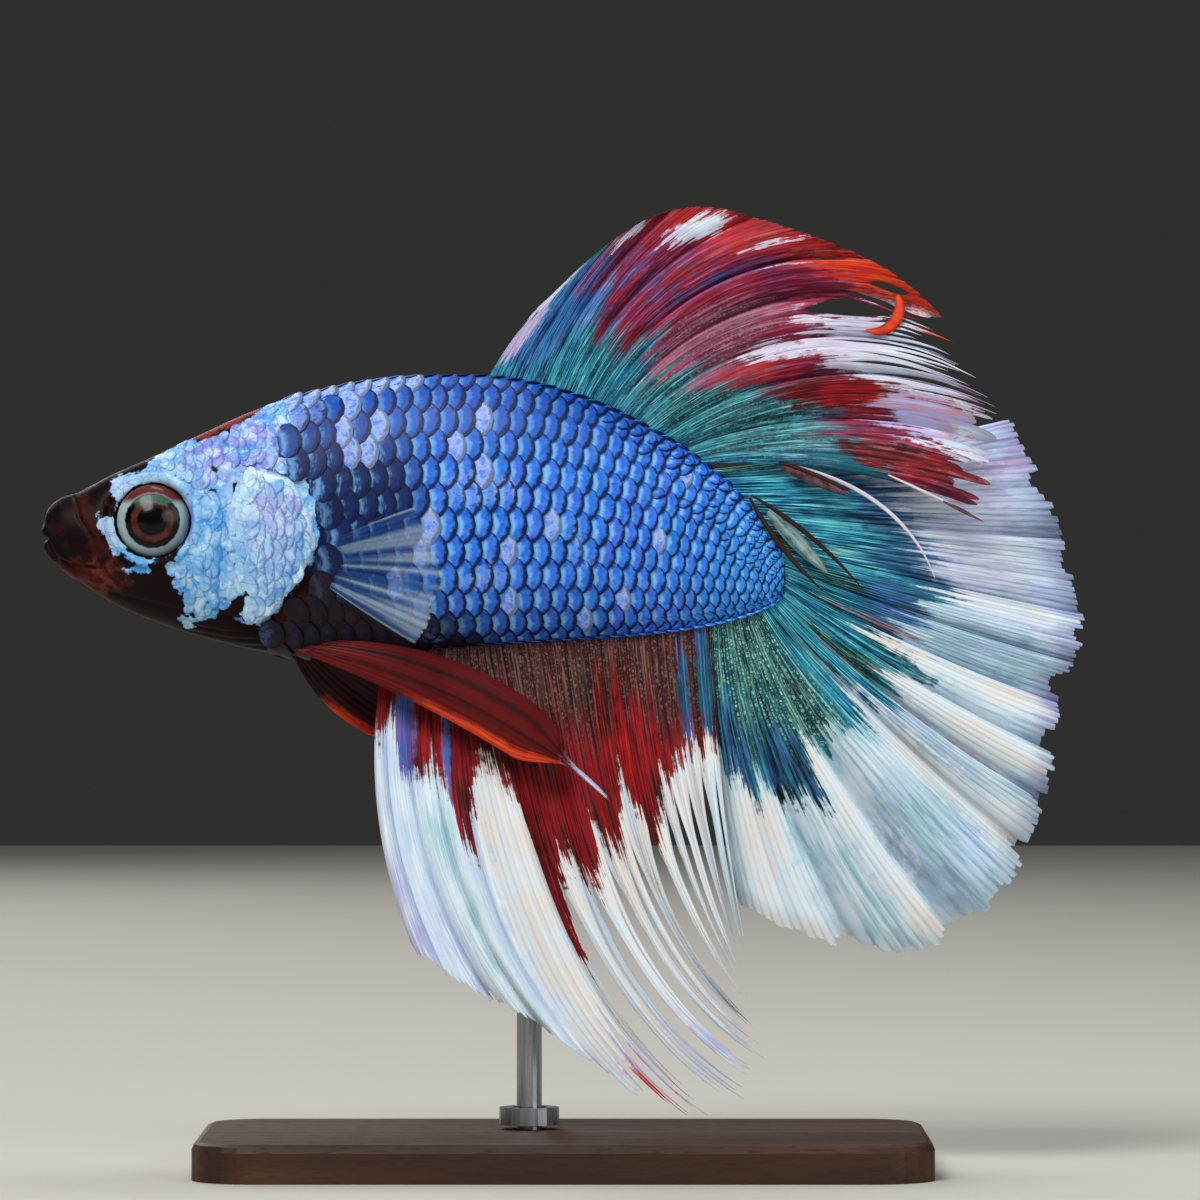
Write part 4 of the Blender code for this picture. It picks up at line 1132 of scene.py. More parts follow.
def length_setting(name, millimetres, description):
    words = {"name": name, "description": description}
    return FloatProperty(**words, subtype="DISTANCE", unit="LENGTH", default=millimetres * MM, precision=5)


def power_setting(name, watts):
    return FloatProperty(name=name, description=f"Power of the {name.lower()}", unit="POWER", default=watts)


class BettaColours(PropertyGroup):
    """Colours of the fish and its stand"""

    __annotations__ = {
        name: colour_setting(name, code, group)
        for group, codes in COLOURS.items()
        for name, code in codes.items()
    }


class BettaScales(PropertyGroup):
    """Sizes of the coat of scales"""

    spacing: length_setting("Spacing", 1.09, "Distance between scales of one row at mid body")
    head_spacing: length_setting("Head spacing", 0.66, "Distance between the small plates of the head")
    length: length_setting("Length", 1.0, "Reach of a full scale from its middle to its rim")
    front: length_setting("Front", 0.85, "Reach of a full scale from its middle to its hidden end")
    height: length_setting("Height", 1.25, "Half height of a full scale")
    thickness: length_setting("Thickness", 0.06, "Thickness of a scale")
    lift: FloatProperty(
        name="Lift", description="How far a scale's rim stands up", subtype="ANGLE", unit="ROTATION",
        default=math.radians(8),
    )  # fmt: skip
    rows: IntProperty(name="Rows", description="Rows of scales on each side", default=12, min=4)
    seed: IntProperty(name="Seed", description="Seed of the scales' small differences", default=4)


class BettaStage(PropertyGroup):
    """Camera, lights and floor"""

    camera_distance: length_setting("Camera distance", 500, "Distance from the camera to the fish")
    frame_share: FloatProperty(
        name="Fish in frame", description="Share of the picture's width that the fish takes", default=0.869
    )
    key_watts: power_setting("Key light", 2.6)
    fill_watts: power_setting("Fill light", 0.8)


# ---------------------------------------------------------------- operators


class BETTA_OT_skin(Operator):
    """Make the one skin of the head, jaw, gill covers, trunk and tail stalk"""

    bl_idname = "betta.skin"
    bl_label = "Skin"

    def execute(self, context):
        rings, around = 370, 256
        along = np.linspace(0, 1, rings + 1)[1:-1]
        turn = np.linspace(0, 2 * math.pi, around, endpoint=False) - math.pi / 2
        tips = skin_surface(np.array([1e-4, 1 - 1e-4]), np.zeros(2))
        mesh, vertices = tipped_mesh("skin", skin_surface(*np.meshgrid(along, turn, indexing="ij")), tips)
        marks = body_marks_and_shade(vertices)
        cover = inside_outline(GILL_COVER, vertices[:, 0], vertices[:, 2])
        marks["trunk"] = np.minimum(vertices[:, 0] - 14.5, -cover)
        for name, values in marks.items():
            carry(mesh, name, values)
        corner = corner_vertices(mesh)
        ring, column = np.minimum(corner // around, rings - 2), corner % around
        column = column + around * past_seam(mesh, column, around // 2)
        bake_map(mesh, np.stack([column / around, (ring + 1) / rings], axis=-1))
        flesh = ("head", "lower_jaw", "gill_cover_left", "gill_cover_right", "trunk", "tail_stalk")
        add_piece("skin", mesh, skin_material(context.scene.betta_colours), flesh)
        return {"FINISHED"}


# The markings and painted shade that colour the scales too, and the patch of the bake map that a whole scale
# takes
SCALE_MARKS_AND_SHADE = "navy belly tail shade rim groove plate lilac front band back nape".split()
BLADE_MM, BLADE_ON_MAP = 2.6, 0.003


def scale_blade(settings):
    """One scale: a thin lens-shaped plate round the origin, its free rim at +x and its outer face at +z."""
    rows, columns = 7, 4
    turn = np.linspace(-math.pi / 2, math.pi / 2, rows)
    reach = np.maximum(np.cos(turn), 0.12)
    back = np.linspace(0, 1, columns)
    chord = (settings.front + settings.length) * reach
    x = -settings.front * reach[:, None] + chord[:, None] * back
    y = np.repeat((settings.height * np.sin(turn))[:, None], columns, axis=1)
    top = np.stack([x, y, 0 * x], axis=-1)
    low = top[:, [0, -1]] - (0, 0, settings.thickness)
    vertices = np.concatenate([top.reshape(-1, 3), low.reshape(-1, 3)])
    index = np.arange(rows * columns).reshape(rows, columns)
    under = rows * columns + np.arange(rows * 2).reshape(rows, 2)
    faces = []
    for i in range(rows - 1):
        for j in range(columns - 1):
            faces.append((index[i, j], index[i, j + 1], index[i + 1, j + 1], index[i + 1, j]))
        faces.append((under[i, 0], under[i + 1, 0], under[i + 1, 1], under[i, 1]))
        faces.append((index[i, -1], under[i, 1], under[i + 1, 1], index[i + 1, -1]))
        faces.append((index[i, 0], index[i + 1, 0], under[i + 1, 0], under[i, 0]))
    faces.append((*index[0, ::-1], under[0, 0], under[0, 1]))
    faces.append((*index[-1], under[-1, 1], under[-1, 0]))
    mesh = bpy.data.meshes.new("scale_blade")
    mesh.from_pydata(vertices.tolist(), [], [tuple(int(k) for k in face) for face in faces])
    mesh.shade_smooth()
    mesh.set_sharp_from_angle(angle=math.radians(60))
    to_rim = (chord[:, None] * (1 - back)) / MM
    blade = np.stack([x / MM, y / MM, to_rim], axis=-1)
    blade = np.concatenate([blade.reshape(-1, 3), blade[:, [0, -1]].reshape(-1, 3)])
    carry(mesh, "blade", blade, "FLOAT_VECTOR")
    return mesh


def bending(along, around):
    """How fast the plain body curves round and along itself, per millimetre."""
    step = 0.02
    found = []
    for a, b in ((0, step), (step * 0.4, 0)):
        ahead, way, _ = surface_frame(plain_body, np.clip(along + a, 0, 1), around + b)
        before, was, _ = surface_frame(plain_body, np.clip(along - a, 0, 1), around - b)
        apart = np.linalg.norm(ahead - before, axis=-1)
        found.append(np.linalg.norm(way - was, axis=-1) / np.maximum(apart, 1e-6))
    return np.clip(found[0], 0, 0.45), np.clip(found[1], 0, 0.1)


def along_at(x):
    return station_at(x) / (len(BODY_STATIONS) - 1)


def girth_at(x):
    """How far round the skin the angles of one side are from the belly, in millimetres, and these angles."""
    sweep = np.linspace(-math.pi / 2, math.pi / 2, 400)
    ring = plain_body(np.full(400, along_at(x)), sweep)
    return np.concatenate([[0], np.cumsum(np.linalg.norm(np.diff(ring, axis=0), axis=1))]), sweep


FIRST_SCALE, LAST_SCALE = 13.0, 46.4  # where the trunk's rows start and end


def scale_places(side, settings):
    """One side's scales: rows on the trunk that overlap rearwards, and loose plates on the head."""
    rng = np.random.default_rng(settings.seed + (side > 0))
    found = []

    def keep(x, angle, size, tall, spin, head):
        found.append((along_at(x), angle, size, tall, spin, head))

    length, sweep = girth_at(23.0)
    rows = np.interp((np.arange(settings.rows) + 0.5) / settings.rows * length[-1], length, sweep)
    for k, angle in enumerate(rows):
        x = FIRST_SCALE + 0.5 * (k % 2) * settings.spacing / MM
        while x < LAST_SCALE:
            back, belly = body_outline(x)
            share = float(np.clip((back - belly) / DEEPEST, 0.3, 1.0) ** 0.8)
            z = plain_body(np.array(along_at(x)), np.array(angle))[2]
            cover = inside_outline(GILL_COVER, np.array(x), z)
            if cover < -0.9 and x > 14.4 + 0.15 * max(0.0, z - 2):
                at = (x + 0.03 * rng.normal(), angle + 0.006 * rng.normal())
                keep(*at, share, share, 0.05 * rng.normal(), 0.0)
            x += settings.spacing / MM * share
    spacing = settings.head_spacing / MM
    for k, x in enumerate(np.arange(4.2, 19.0, spacing * 0.86)):
        length, sweep = girth_at(x)
        for mark in np.arange(0.5 * (k % 2) * spacing, length[-1], spacing):
            angle = np.interp(mark + 0.16 * spacing * rng.normal(), length, sweep)
            at = x + 0.16 * spacing * rng.normal()
            z = plain_body(np.array(along_at(at)), np.array(angle))[2]
            cover = inside_outline(GILL_COVER, np.array(at), z)
            mask = float(body_marks_and_shade(np.array([[at, -1.0, z]]))["mask"][0])
            eye = math.hypot(at - EYE_AT[0], z - EYE_AT[2])
            on_head = cover > 0.3 or (at < 14.9 + 0.35 * max(0.0, z - 2) and cover < -0.1) or at < 12
            if on_head and mask > 0.2 and eye > 3.25:
                size = 0.4 + 0.05 * rng.normal() + 0.05 * ramp(at, 8, 14)
                keep(at, angle, size, size * (1 + 0.25 * ramp(cover, 0, 1)), 0.35 * rng.normal(), 1.0)
    along, around, size, tall, spin, head = np.array(found).T
    around = around if side < 0 else math.pi - around
    point = skin_surface(along, around)
    _, normal, rear = surface_frame(plain_body, along, around)
    across = np.cross(normal, rear)
    rear = rear * np.cos(spin)[:, None] + across * np.sin(spin)[:, None]
    return point, normal, rear, along, around, size, tall, head, rng


def scale_tree():
    """Geometry nodes that set a scale on every point, turned along the body, lifted at the rim and bent."""
    tree = bpy.data.node_groups.new("scale_coat", "GeometryNodeTree")
    sockets = (("Geometry", "Geometry"), ("Scale", "Object"), ("Lift", "Float"), ("Head lift", "Float"),
               ("Material", "Material"))  # fmt: skip
    for name, kind in sockets:
        tree.interface.new_socket(name, in_out="INPUT", socket_type="NodeSocket" + kind)
    tree.interface.new_socket("Geometry", in_out="OUTPUT", socket_type="NodeSocketGeometry")
    given = add(tree, "NodeGroupInput").outputs

    def node(kind, inputs, out=0, **settings):
        return add(tree, kind, inputs, **settings).outputs[out]

    def named(name, kind="FLOAT_VECTOR"):
        return node("GeometryNodeInputNamedAttribute", {"Name": name}, data_type=kind)

    normal, size = named("normal_way"), named("size")
    turned = node("FunctionNodeAlignRotationToVector", {"Vector": normal}, axis="Z")
    along = {"Rotation": turned, "Vector": named("rear_way")}
    turned = node("FunctionNodeAlignRotationToVector", along, axis="X", pivot_axis="Z")
    angle = node("ShaderNodeMix", {"Factor": named("head", "FLOAT"), 2: given["Lift"], 3: given["Head lift"]})
    tip = node("ShaderNodeMath", {0: angle, 1: -1.0}, operation="MULTIPLY")
    lift = node("FunctionNodeAxisAngleToRotation", {"Axis": (0, 1, 0), "Angle": tip})
    turned = node("FunctionNodeRotateRotation", {"Rotation": turned, "Rotate By": lift}, rotation_space="LOCAL")
    blade = node("GeometryNodeObjectInfo", {"Object": given["Scale"]}, "Geometry", transform_space="ORIGINAL")
    coat = {"Points": given["Geometry"], "Instance": blade, "Rotation": turned, "Scale": size}
    coat = node("GeometryNodeRealizeInstances", {0: node("GeometryNodeInstanceOnPoints", coat)})
    flat = node("ShaderNodeVectorMath", {0: named("blade"), 1: size}, operation="MULTIPLY")
    squared = node("ShaderNodeVectorMath", {0: flat, 1: flat}, operation="MULTIPLY")
    drop = node("ShaderNodeVectorMath", {0: squared, 1: named("bend")}, "Value", operation="DOT_PRODUCT")
    fall = node("ShaderNodeMath", {0: drop, 1: -0.5 * MM}, operation="MULTIPLY")
    offset = node("ShaderNodeVectorMath", {0: normal, "Scale": fall}, operation="SCALE")
    coat = node("GeometryNodeSetPosition", {"Geometry": coat, "Offset": offset})
    coat = node("GeometryNodeSetMaterial", {"Geometry": coat, "Material": given["Material"]})
    add(tree, "NodeGroupOutput", {0: coat})
    return tree


class BETTA_OT_scales(Operator):
    """Make the coat of scales of each side"""

    bl_idname = "betta.scales"
    bl_label = "Scales"

    def execute(self, context):
        settings = context.scene.betta_scales
        material = scale_material(context.scene.betta_colours)
        blade = bpy.data.objects.new("scale_blade", scale_blade(settings))
        tree = scale_tree()
        sockets = {item.name: item.identifier for item in tree.interface.items_tree if item.in_out == "INPUT"}
        given = {"Scale": blade, "Lift": settings.lift, "Head lift": settings.lift * 0.3, "Material": material}
        for side, name in ((-1, "scales_left"), (1, "scales_right")):
            point, normal, rear, along, around, size, tall, head, rng = scale_places(side, settings)
            points = bpy.data.meshes.new(name + "_roots")
            stand_up = (0.03 + size * math.tan(settings.lift) * settings.front / MM)[:, None]
            stand_up = np.where(head[:, None] > 0.5, 0.025 + 0.015 * rng.random((len(size), 1)), stand_up)
            points.from_pydata(placed(point + normal * stand_up).tolist(), [], [])
            round_it, along_it = bending(along, around)
            turn = ((around + math.pi / 2) % (2 * math.pi)) / (2 * math.pi)
            vectors = {
                "normal_way": normal,
                "rear_way": rear,
                "size": np.stack([size, tall, size], axis=-1),
                "bend": np.stack([along_it, round_it, 0 * head], axis=-1),
                "root_map": np.stack([turn, along, 0 * along], axis=-1),
            }
            for key, values in vectors.items():
                carry(points, key, values, "FLOAT_VECTOR")
            marks = body_marks_and_shade(point)
            pale = ramp(marks["nape"], -0.3, 0.4) * (0.5 + 0.5 * rng.random(len(size)))
            for spot_x, spot_z in GALAXY_SPOTS:
                nearest = np.argmin(np.hypot(point[:, 0] - spot_x, point[:, 2] - spot_z) + 9 * head)
                pale[nearest] = 1.0
            pale = np.maximum(pale, 0.55 * (rng.random(len(size)) > 0.975))
            fields = {"head": head, "pale": pale, "luck": rng.random(len(size))}
            fields |= {key: marks[key] for key in SCALE_MARKS_AND_SHADE}
            for key, values in fields.items():
                carry(points, key, values)
            roots = bpy.data.objects.new(name + "_roots", points)
            context.scene.collection.objects.link(roots)
            modifier = roots.modifiers.new("Coat", "NODES")
            modifier.node_group = tree
            for key, value in given.items():
                modifier[sockets[key]] = value
            context.view_layer.update()
            evaluated = roots.evaluated_get(context.evaluated_depsgraph_get())
            mesh = bpy.data.meshes.new_from_object(evaluated)
            mesh.name = name
            bpy.data.objects.remove(roots)
            corner = corner_vertices(mesh)
            root, local = (carried_vectors(mesh, key)[corner, :2] for key in ("root_map", "blade"))
            bake_map(mesh, root + local / BLADE_MM * BLADE_ON_MAP)
            add_piece(name, mesh, None, ())
        bpy.data.objects.remove(blade)
        return {"FINISHED"}


class BETTA_OT_eyes(Operator):
    """Make both eyeballs, with the cornea's bulge"""

    bl_idname = "betta.eyes"
    bl_label = "Eyes"

    def execute(self, context):
        material = eye_material(context.scene.betta_colours)
        rings, around = 64, 96
        polar = np.linspace(0, math.pi, rings + 2)[1:-1]
        turn = np.linspace(0, 2 * math.pi, around, endpoint=False)
        p, t = np.meshgrid(polar, turn, indexing="ij")
        x, out, z = EYE_AT
        reach = EYE_RADIUS * np.sin(p)
        bulge = EYE_DEPTH * np.cos(p) + CORNEA * ramp(1.5 - reach, 0.0, 1.0) * (np.cos(p) > 0)
        for side, name in ((-1, "eye_left"), (1, "eye_right")):
            ball = np.stack([x + reach * np.cos(t), side * (out + bulge), z + reach * np.sin(t)], -1)
            tips = ((x, side * (out + EYE_DEPTH + CORNEA), z), (x, side * (out - EYE_DEPTH), z))
            mesh, vertices = tipped_mesh(name + "_ball", ball, tips)
            carry(mesh, "ring", np.hypot(vertices[:, 0] - x, vertices[:, 2] - z))
            carry(mesh, "above", vertices[:, 2] - z)
            add_piece(name + "_ball", mesh, material, (name,))
        return {"FINISHED"}


def colour_fields(made, root, tongues, edges):
    """The fields of a fin's layers; root is the share of the rays that the root's colour reaches."""
    fields = {name: tongues_field(places, made) for name, places in tongues.items()}
    fields |= {name: beyond_field(edge, made, jitter) for name, (jitter, edge) in edges.items()}
    return {**fields, "root": root - made["v"]}


def add_fin(fin, made, fields, material):
    name = fin.name + "_rays"
    add_piece(name, ribbon_mesh(name, made, fields), material, (fin.name,))


# What colours a fin: tongues of colour, each (place, half width, start, end) on the rays; the edges beyond
# which a colour lies, with their jitter, as (place, share of the ray); and the layers, laid on in this order
DORSAL_TONGUES = {
    "green": ((0.74, 0.14, 0.06, 0.42), (0.9, 0.06, 0.1, 0.5)),
    "blue": ((0.17, 0.1, 0.16, 0.9), (0.25, 0.05, 0.3, 0.8), (0.31, 0.02, 0.34, 0.72)),
    "plum": ((0.62, 0.08, 0.22, 0.5), (0.72, 0.06, 0.24, 0.42)),
    "scarlet": ((0.46, 0.2, 0.78, 1.2), (0.27, 0.1, 0.88, 1.2), (0.75, 0.03, 0.28, 0.46)),
    "white": ((0.05, 0.05, 0.74, 1.2), (0.225, 0.028, 0.86, 0.99), (0.35, 0.034, 0.78, 0.95),
        (0.455, 0.008, 0.78, 0.96), (0.745, 0.115, 0.54, 1.2), (0.69, 0.02, 0.38, 0.5),
        (0.9, 0.04, 0.74, 1.2), (0.515, 0.008, 0.74, 0.86), (0.6, 0.014, 0.84, 0.98),
        (0.72, 0.024, 0.4, 0.9)),
    "pink": ((0.05, 0.05, 0.3, 0.76), (0.88, 0.035, 0.62, 0.92), (0.8, 0.05, 0.84, 1.1)),
    "orange": ((0.545, 0.055, 0.8, 1.3), (0.645, 0.035, 0.93, 1.3)),
    "streak": ((0.955, 0.022, 0.5, 0.96), (0.845, 0.035, 0.36, 0.68)),
    "violet": ((0.38, 0.14, 0.36, 0.84),),
    "crimson": ((0.26, 0.09, 0.5, 0.98),),
}  # fmt: skip
DORSAL_EDGES = {
    "red": (0.08, ((0, 1.1), (0.1, 1.05), (0.16, 1.02), (0.21, 0.92), (0.26, 0.74), (0.31, 0.48),
        (0.36, 0.27), (0.5, 0.24), (0.6, 0.3), (0.7, 0.3), (0.78, 0.3), (0.86, 0.36), (0.92, 0.5),
        (1, 0.62))),
}  # fmt: skip
DORSAL_LAYERS = (
    Layer("root", 0.16, "teal", "fin_azure", 0.2, 1.0, "fin_glint", 0.25),
    Layer("green", 0.06, "green_deep", "teal_grey", 0.15, 0.9, "fin_glint", 0.35),
    Layer("blue", 0.04, "fin_blue", "fin_azure", 0.15, 0.9, "fin_periwinkle"),
    Layer("red", 0.05, "fin_red", "fin_plum", 0.0, 0.6, "fin_rose"),
    Layer("plum", 0.05, "fin_plum", "fin_rose", 0.0, 0.6, "fin_pink", 0.4),
    Layer("violet", 0.03, "fin_magenta", "fin_blue", 0.0, 0.3, "fin_lilac"),
    Layer("crimson", 0.02, "fin_red", "fin_magenta", 0.0, 0.5, "fin_rose"),
    Layer("scarlet", 0.09, "fin_scarlet", "fin_red", 0.0, 0.4, "fin_rose"),
    Layer("white", 0.015, "fin_white", "fin_blush", 0.0, 0.3, "fin_lilac"),
    Layer("pink", 0.03, "fin_pink", "fin_lilac"),
    Layer("streak", 0.02, "fin_red", "fin_maroon"),
    Layer("orange", 0.035, "fin_orange", "fin_scarlet"),
)
STRIP_LAYERS = (
    Layer("red_brown", 0.1, "fold_red", "fold_brown", 0.0, 0.6, "fin_pink"),
    Layer("pale_green", 0.1, "fold_grey", "teal_grey", 0.0, 0.8, "fin_ice"),
    Layer("cream", 0.1, "fin_cream", "fin_blush"),
    Layer("orange", 0.1, "fin_orange", "fin_scarlet"),
)


class BETTA_OT_dorsal_fin(Operator):
    """Make the dorsal fin's rays and membrane"""

    bl_idname = "betta.dorsal_fin"
    bl_label = "Dorsal fin"

    def execute(self, context):
        colours = context.scene.betta_colours
        made = fin_ribbons(DORSAL)
        fields = colour_fields(made, 0.4, DORSAL_TONGUES, DORSAL_EDGES)
        fields["violet"] = np.minimum(fields["violet"], 0.4 * (made["luck"] - 0.78))
        fields["crimson"] = np.minimum(fields["crimson"], 0.4 * (0.4 - made["luck"]))
        material = fin_material("dorsal_fin_membrane", "teal", DORSAL_LAYERS, colours, sheer=0.25)
        add_fin(DORSAL, made, fields, material)
        made = strand_ribbons(LOOSE_STRIPS)
        shade = made.pop("shade")
        fields = {layer.field: 0.5 - np.abs(shade - k) for k, layer in enumerate(STRIP_LAYERS, 1)}
        material = fin_material("folded_fin_strips", "fold_brown", STRIP_LAYERS, colours)
        name = "dorsal_fin_strips"
        add_piece(name, ribbon_mesh(name, made, fields), material, ())
        return {"FINISHED"}


CAUDAL_TONGUES = {
    "navy": ((0.11, 0.13, 0.44, 0.8), (0.24, 0.05, 0.4, 0.7), (0.38, 0.08, 0.28, 0.62)),
    "cyan": ((0.1, 0.09, 0.1, 0.44), (0.18, 0.05, 0.16, 0.5), (0.27, 0.035, 0.14, 0.42),
        (0.36, 0.12, 0.0, 0.14), (0.54, 0.03, 0.1, 0.38), (0.62, 0.2, 0.0, 0.12), (0.66, 0.03, 0.1, 0.46),
        (0.75, 0.035, 0.1, 0.46)),
    "azure": ((0.07, 0.1, 0.05, 0.6), (0.2, 0.06, 0.34, 0.6), (0.52, 0.05, 0.0, 0.14)),
    "green": ((0.01, 0.03, 0.0, 0.3), (0.24, 0.05, 0.06, 0.3), (0.34, 0.03, 0.1, 0.4),
        (0.58, 0.035, 0.1, 0.4), (0.72, 0.04, 0.1, 0.36)),
    "dark": ((0.91, 0.15, -0.1, 0.48), (0.8, 0.04, 0.1, 0.36)),
    "slate": ((0.88, 0.05, 0.36, 0.8), (0.96, 0.03, 0.28, 0.6)),
    "upper": ((0.12, 0.2, 0.56, 1.3),),
    "ice": ((0.4, 0.07, 0.5, 0.95), (0.77, 0.06, 0.6, 1.0), (0.66, 0.03, 0.45, 0.8)),
    "cream": ((0.7, 0.03, 0.3, 1.2), (0.49, 0.02, 0.34, 0.96), (0.57, 0.03, 0.44, 0.96),
        (0.29, 0.02, 0.55, 0.96), (0.83, 0.02, 0.44, 1.0), (0.95, 0.04, 0.55, 1.2)),
    # painted shade: thin brown lines in the gaps under two of the tail's folds
    "brown": ((0.617, 0.006, 0.26, 0.78), (0.44, 0.008, 0.2, 0.46)),
    "pink": ((0.04, 0.08, 0.72, 1.02),),
}  # fmt: skip
CAUDAL_EDGES = {
    "white": (0.09, ((0, 0.72), (0.05, 0.7), (0.12, 0.76), (0.16, 0.7), (0.2, 0.6), (0.28, 0.6), (0.33, 0.5),
        (0.38, 0.5), (0.44, 0.42), (0.5, 0.52), (0.57, 0.5), (0.64, 0.46), (0.69, 0.34), (0.76, 0.38),
        (0.81, 0.4), (0.86, 0.5), (0.92, 0.56), (0.96, 0.5), (1, 0.45))),
    "lilac": (0.05, ((0, 0.84), (0.35, 0.86), (0.6, 0.92), (0.75, 1.0), (1, 1.05))),
}  # fmt: skip
CAUDAL_LAYERS = (
    Layer("root", 0.2, "teal", "teal_light", 0.2, 1.0, "fin_glint", 0.2),
    Layer("azure", 0.1, "fin_azure", "fin_navy", 0.2, 1.0, "fin_periwinkle"),
    Layer("green", 0.05, "green_deep", "fin_green", 0.2, 1.0, "grain_green", 0.3),
    Layer("cyan", 0.06, "teal_light", "fin_azure", 0.2, 1.0, "fin_aqua"),
    Layer("navy", 0.06, "fin_navy", "teal", 0.2, 0.6, "fin_periwinkle"),
    Layer("dark", 0.06, "green_deep", "teal_light", 0.1, 0.7, "grain_green", 1.0),
    Layer("slate", 0.04, "green_black", "fin_navy", 0.15, 0.6, "teal_light"),
    Layer("white", 0.02, "fin_white", "fin_ice"),
    Layer("upper", 0.08, "fin_pearl", "fin_white", 0.0, 0.3, "fin_white"),
    Layer("lilac", 0.08, "fin_lilac", "fin_sky", 0.0, 0.35, "fin_white"),
    Layer("ice", 0.06, "fin_ice", "fin_sky", 0.0, 0.35, "fin_white"),
    Layer("pink", 0.03, "fin_pink", "fin_lilac"),
    Layer("cream", 0.03, "fin_cream", "fin_white"),
    # painted shade in the gaps under two of the tail's folds
    Layer("brown", 0.008, "fold_brown", "fin_pink"),
)


class BETTA_OT_caudal_fin(Operator):
    """Make the tail fin's rays and membrane"""

    bl_idname = "betta.caudal_fin"
    bl_label = "Tail fin"

    def execute(self, context):
        made = fin_ribbons(CAUDAL)
        fields = colour_fields(made, 0.62, CAUDAL_TONGUES, CAUDAL_EDGES)
        fields["pink"] = np.minimum(fields["pink"], 0.3 * (made["luck"] - 0.84))
        colours = context.scene.betta_colours
        material = fin_material("tail_fin_membrane", "teal", CAUDAL_LAYERS, colours, sheer=0.5)
        add_fin(CAUDAL, made, fields, material)
        return {"FINISHED"}


ANAL_TONGUES = {
    "violet": ((0.17, 0.035, 0.08, 0.5), (0.3, 0.012, 0.1, 0.4)),
    "slate": ((0.92, 0.012, 0.1, 0.5), (0.97, 0.02, 0.0, 0.4)),
    "sheet": ((0.14, 0.2, -0.2, 1.6),),
    "lilac": ((0.05, 0.06, 0.42, 1.2), (0.2, 0.06, 0.75, 1.2), (0.6, 0.1, 0.84, 1.2)),
    "ice": ((0.26, 0.05, 0.36, 1.0), (0.96, 0.03, 0.5, 0.9)),
    "tip": ((0.4, 0.035, 0.84, 0.98),),
    "bright": ((0.71, 0.05, 0.16, 0.4), (0.78, 0.03, 0.24, 0.5)),
}  # fmt: skip
ANAL_EDGES = {
    "red": (0.08, ((0, 0.0), (0.3, 0.1), (0.6, 0.2), (0.75, 0.13), (0.85, 0.24), (1, 0.3))),
    "white": (0.04, ((0, 0.3), (0.06, 0.29), (0.1, 0.21), (0.14, 0.22), (0.16, 0.36), (0.19, 0.36),
        (0.22, 0.31), (0.24, 0.36), (0.27, 0.29), (0.3, 0.36), (0.335, 0.47), (0.355, 0.22), (0.42, 0.26),
        (0.435, 0.44), (0.46, 0.64), (0.475, 0.5), (0.5, 0.39), (0.54, 0.47), (0.57, 0.5), (0.6, 0.4),
        (0.66, 0.44), (0.7, 0.42), (0.715, 0.27), (0.73, 0.4), (0.78, 0.53), (0.83, 0.42), (0.9, 0.37),
        (1, 0.36))),
}  # fmt: skip
ANAL_LAYERS = (
    Layer("root", 0.12, "root_maroon", "fin_maroon", 0.1, 0.5, "grain_olive", 0.55),
    Layer("red", 0.09, "fin_red", "fin_maroon", 0.0, 0.4, "fin_scarlet", 0.1),
    Layer("bright", 0.09, "fin_red", "fin_maroon", 0.0, 0.8, "fin_scarlet", 0.15),
    Layer("violet", 0.04, "fin_violet", "fin_blue"),
    Layer("slate", 0.025, "fin_blue", "teal", 0.2, 0.5, "fin_periwinkle"),
    Layer("white", 0.015, "fin_white", "fin_cream"),
    Layer("sheet", 0.02, "fin_white", "fin_sky"),
    Layer("lilac", 0.08, "fin_lilac", "fin_white"),
    Layer("ice", 0.05, "fin_ice", "fin_white"),
    Layer("tip", 0.03, "fin_scarlet", "fin_lilac"),
)


class BETTA_OT_anal_fin(Operator):
    """Make the anal fin's rays, membrane and loose threads"""

    bl_idname = "betta.anal_fin"
    bl_label = "Anal fin"

    def execute(self, context):
        made = fin_ribbons(ANAL)
        fields = colour_fields(made, 0.5, ANAL_TONGUES, ANAL_EDGES)
        fields["sheet"] = np.minimum(fields["sheet"], fields["white"])
        material = fin_material("anal_fin_membrane", "fin_maroon", ANAL_LAYERS, context.scene.betta_colours)
        add_fin(ANAL, made, fields, material)
        return {"FINISHED"}


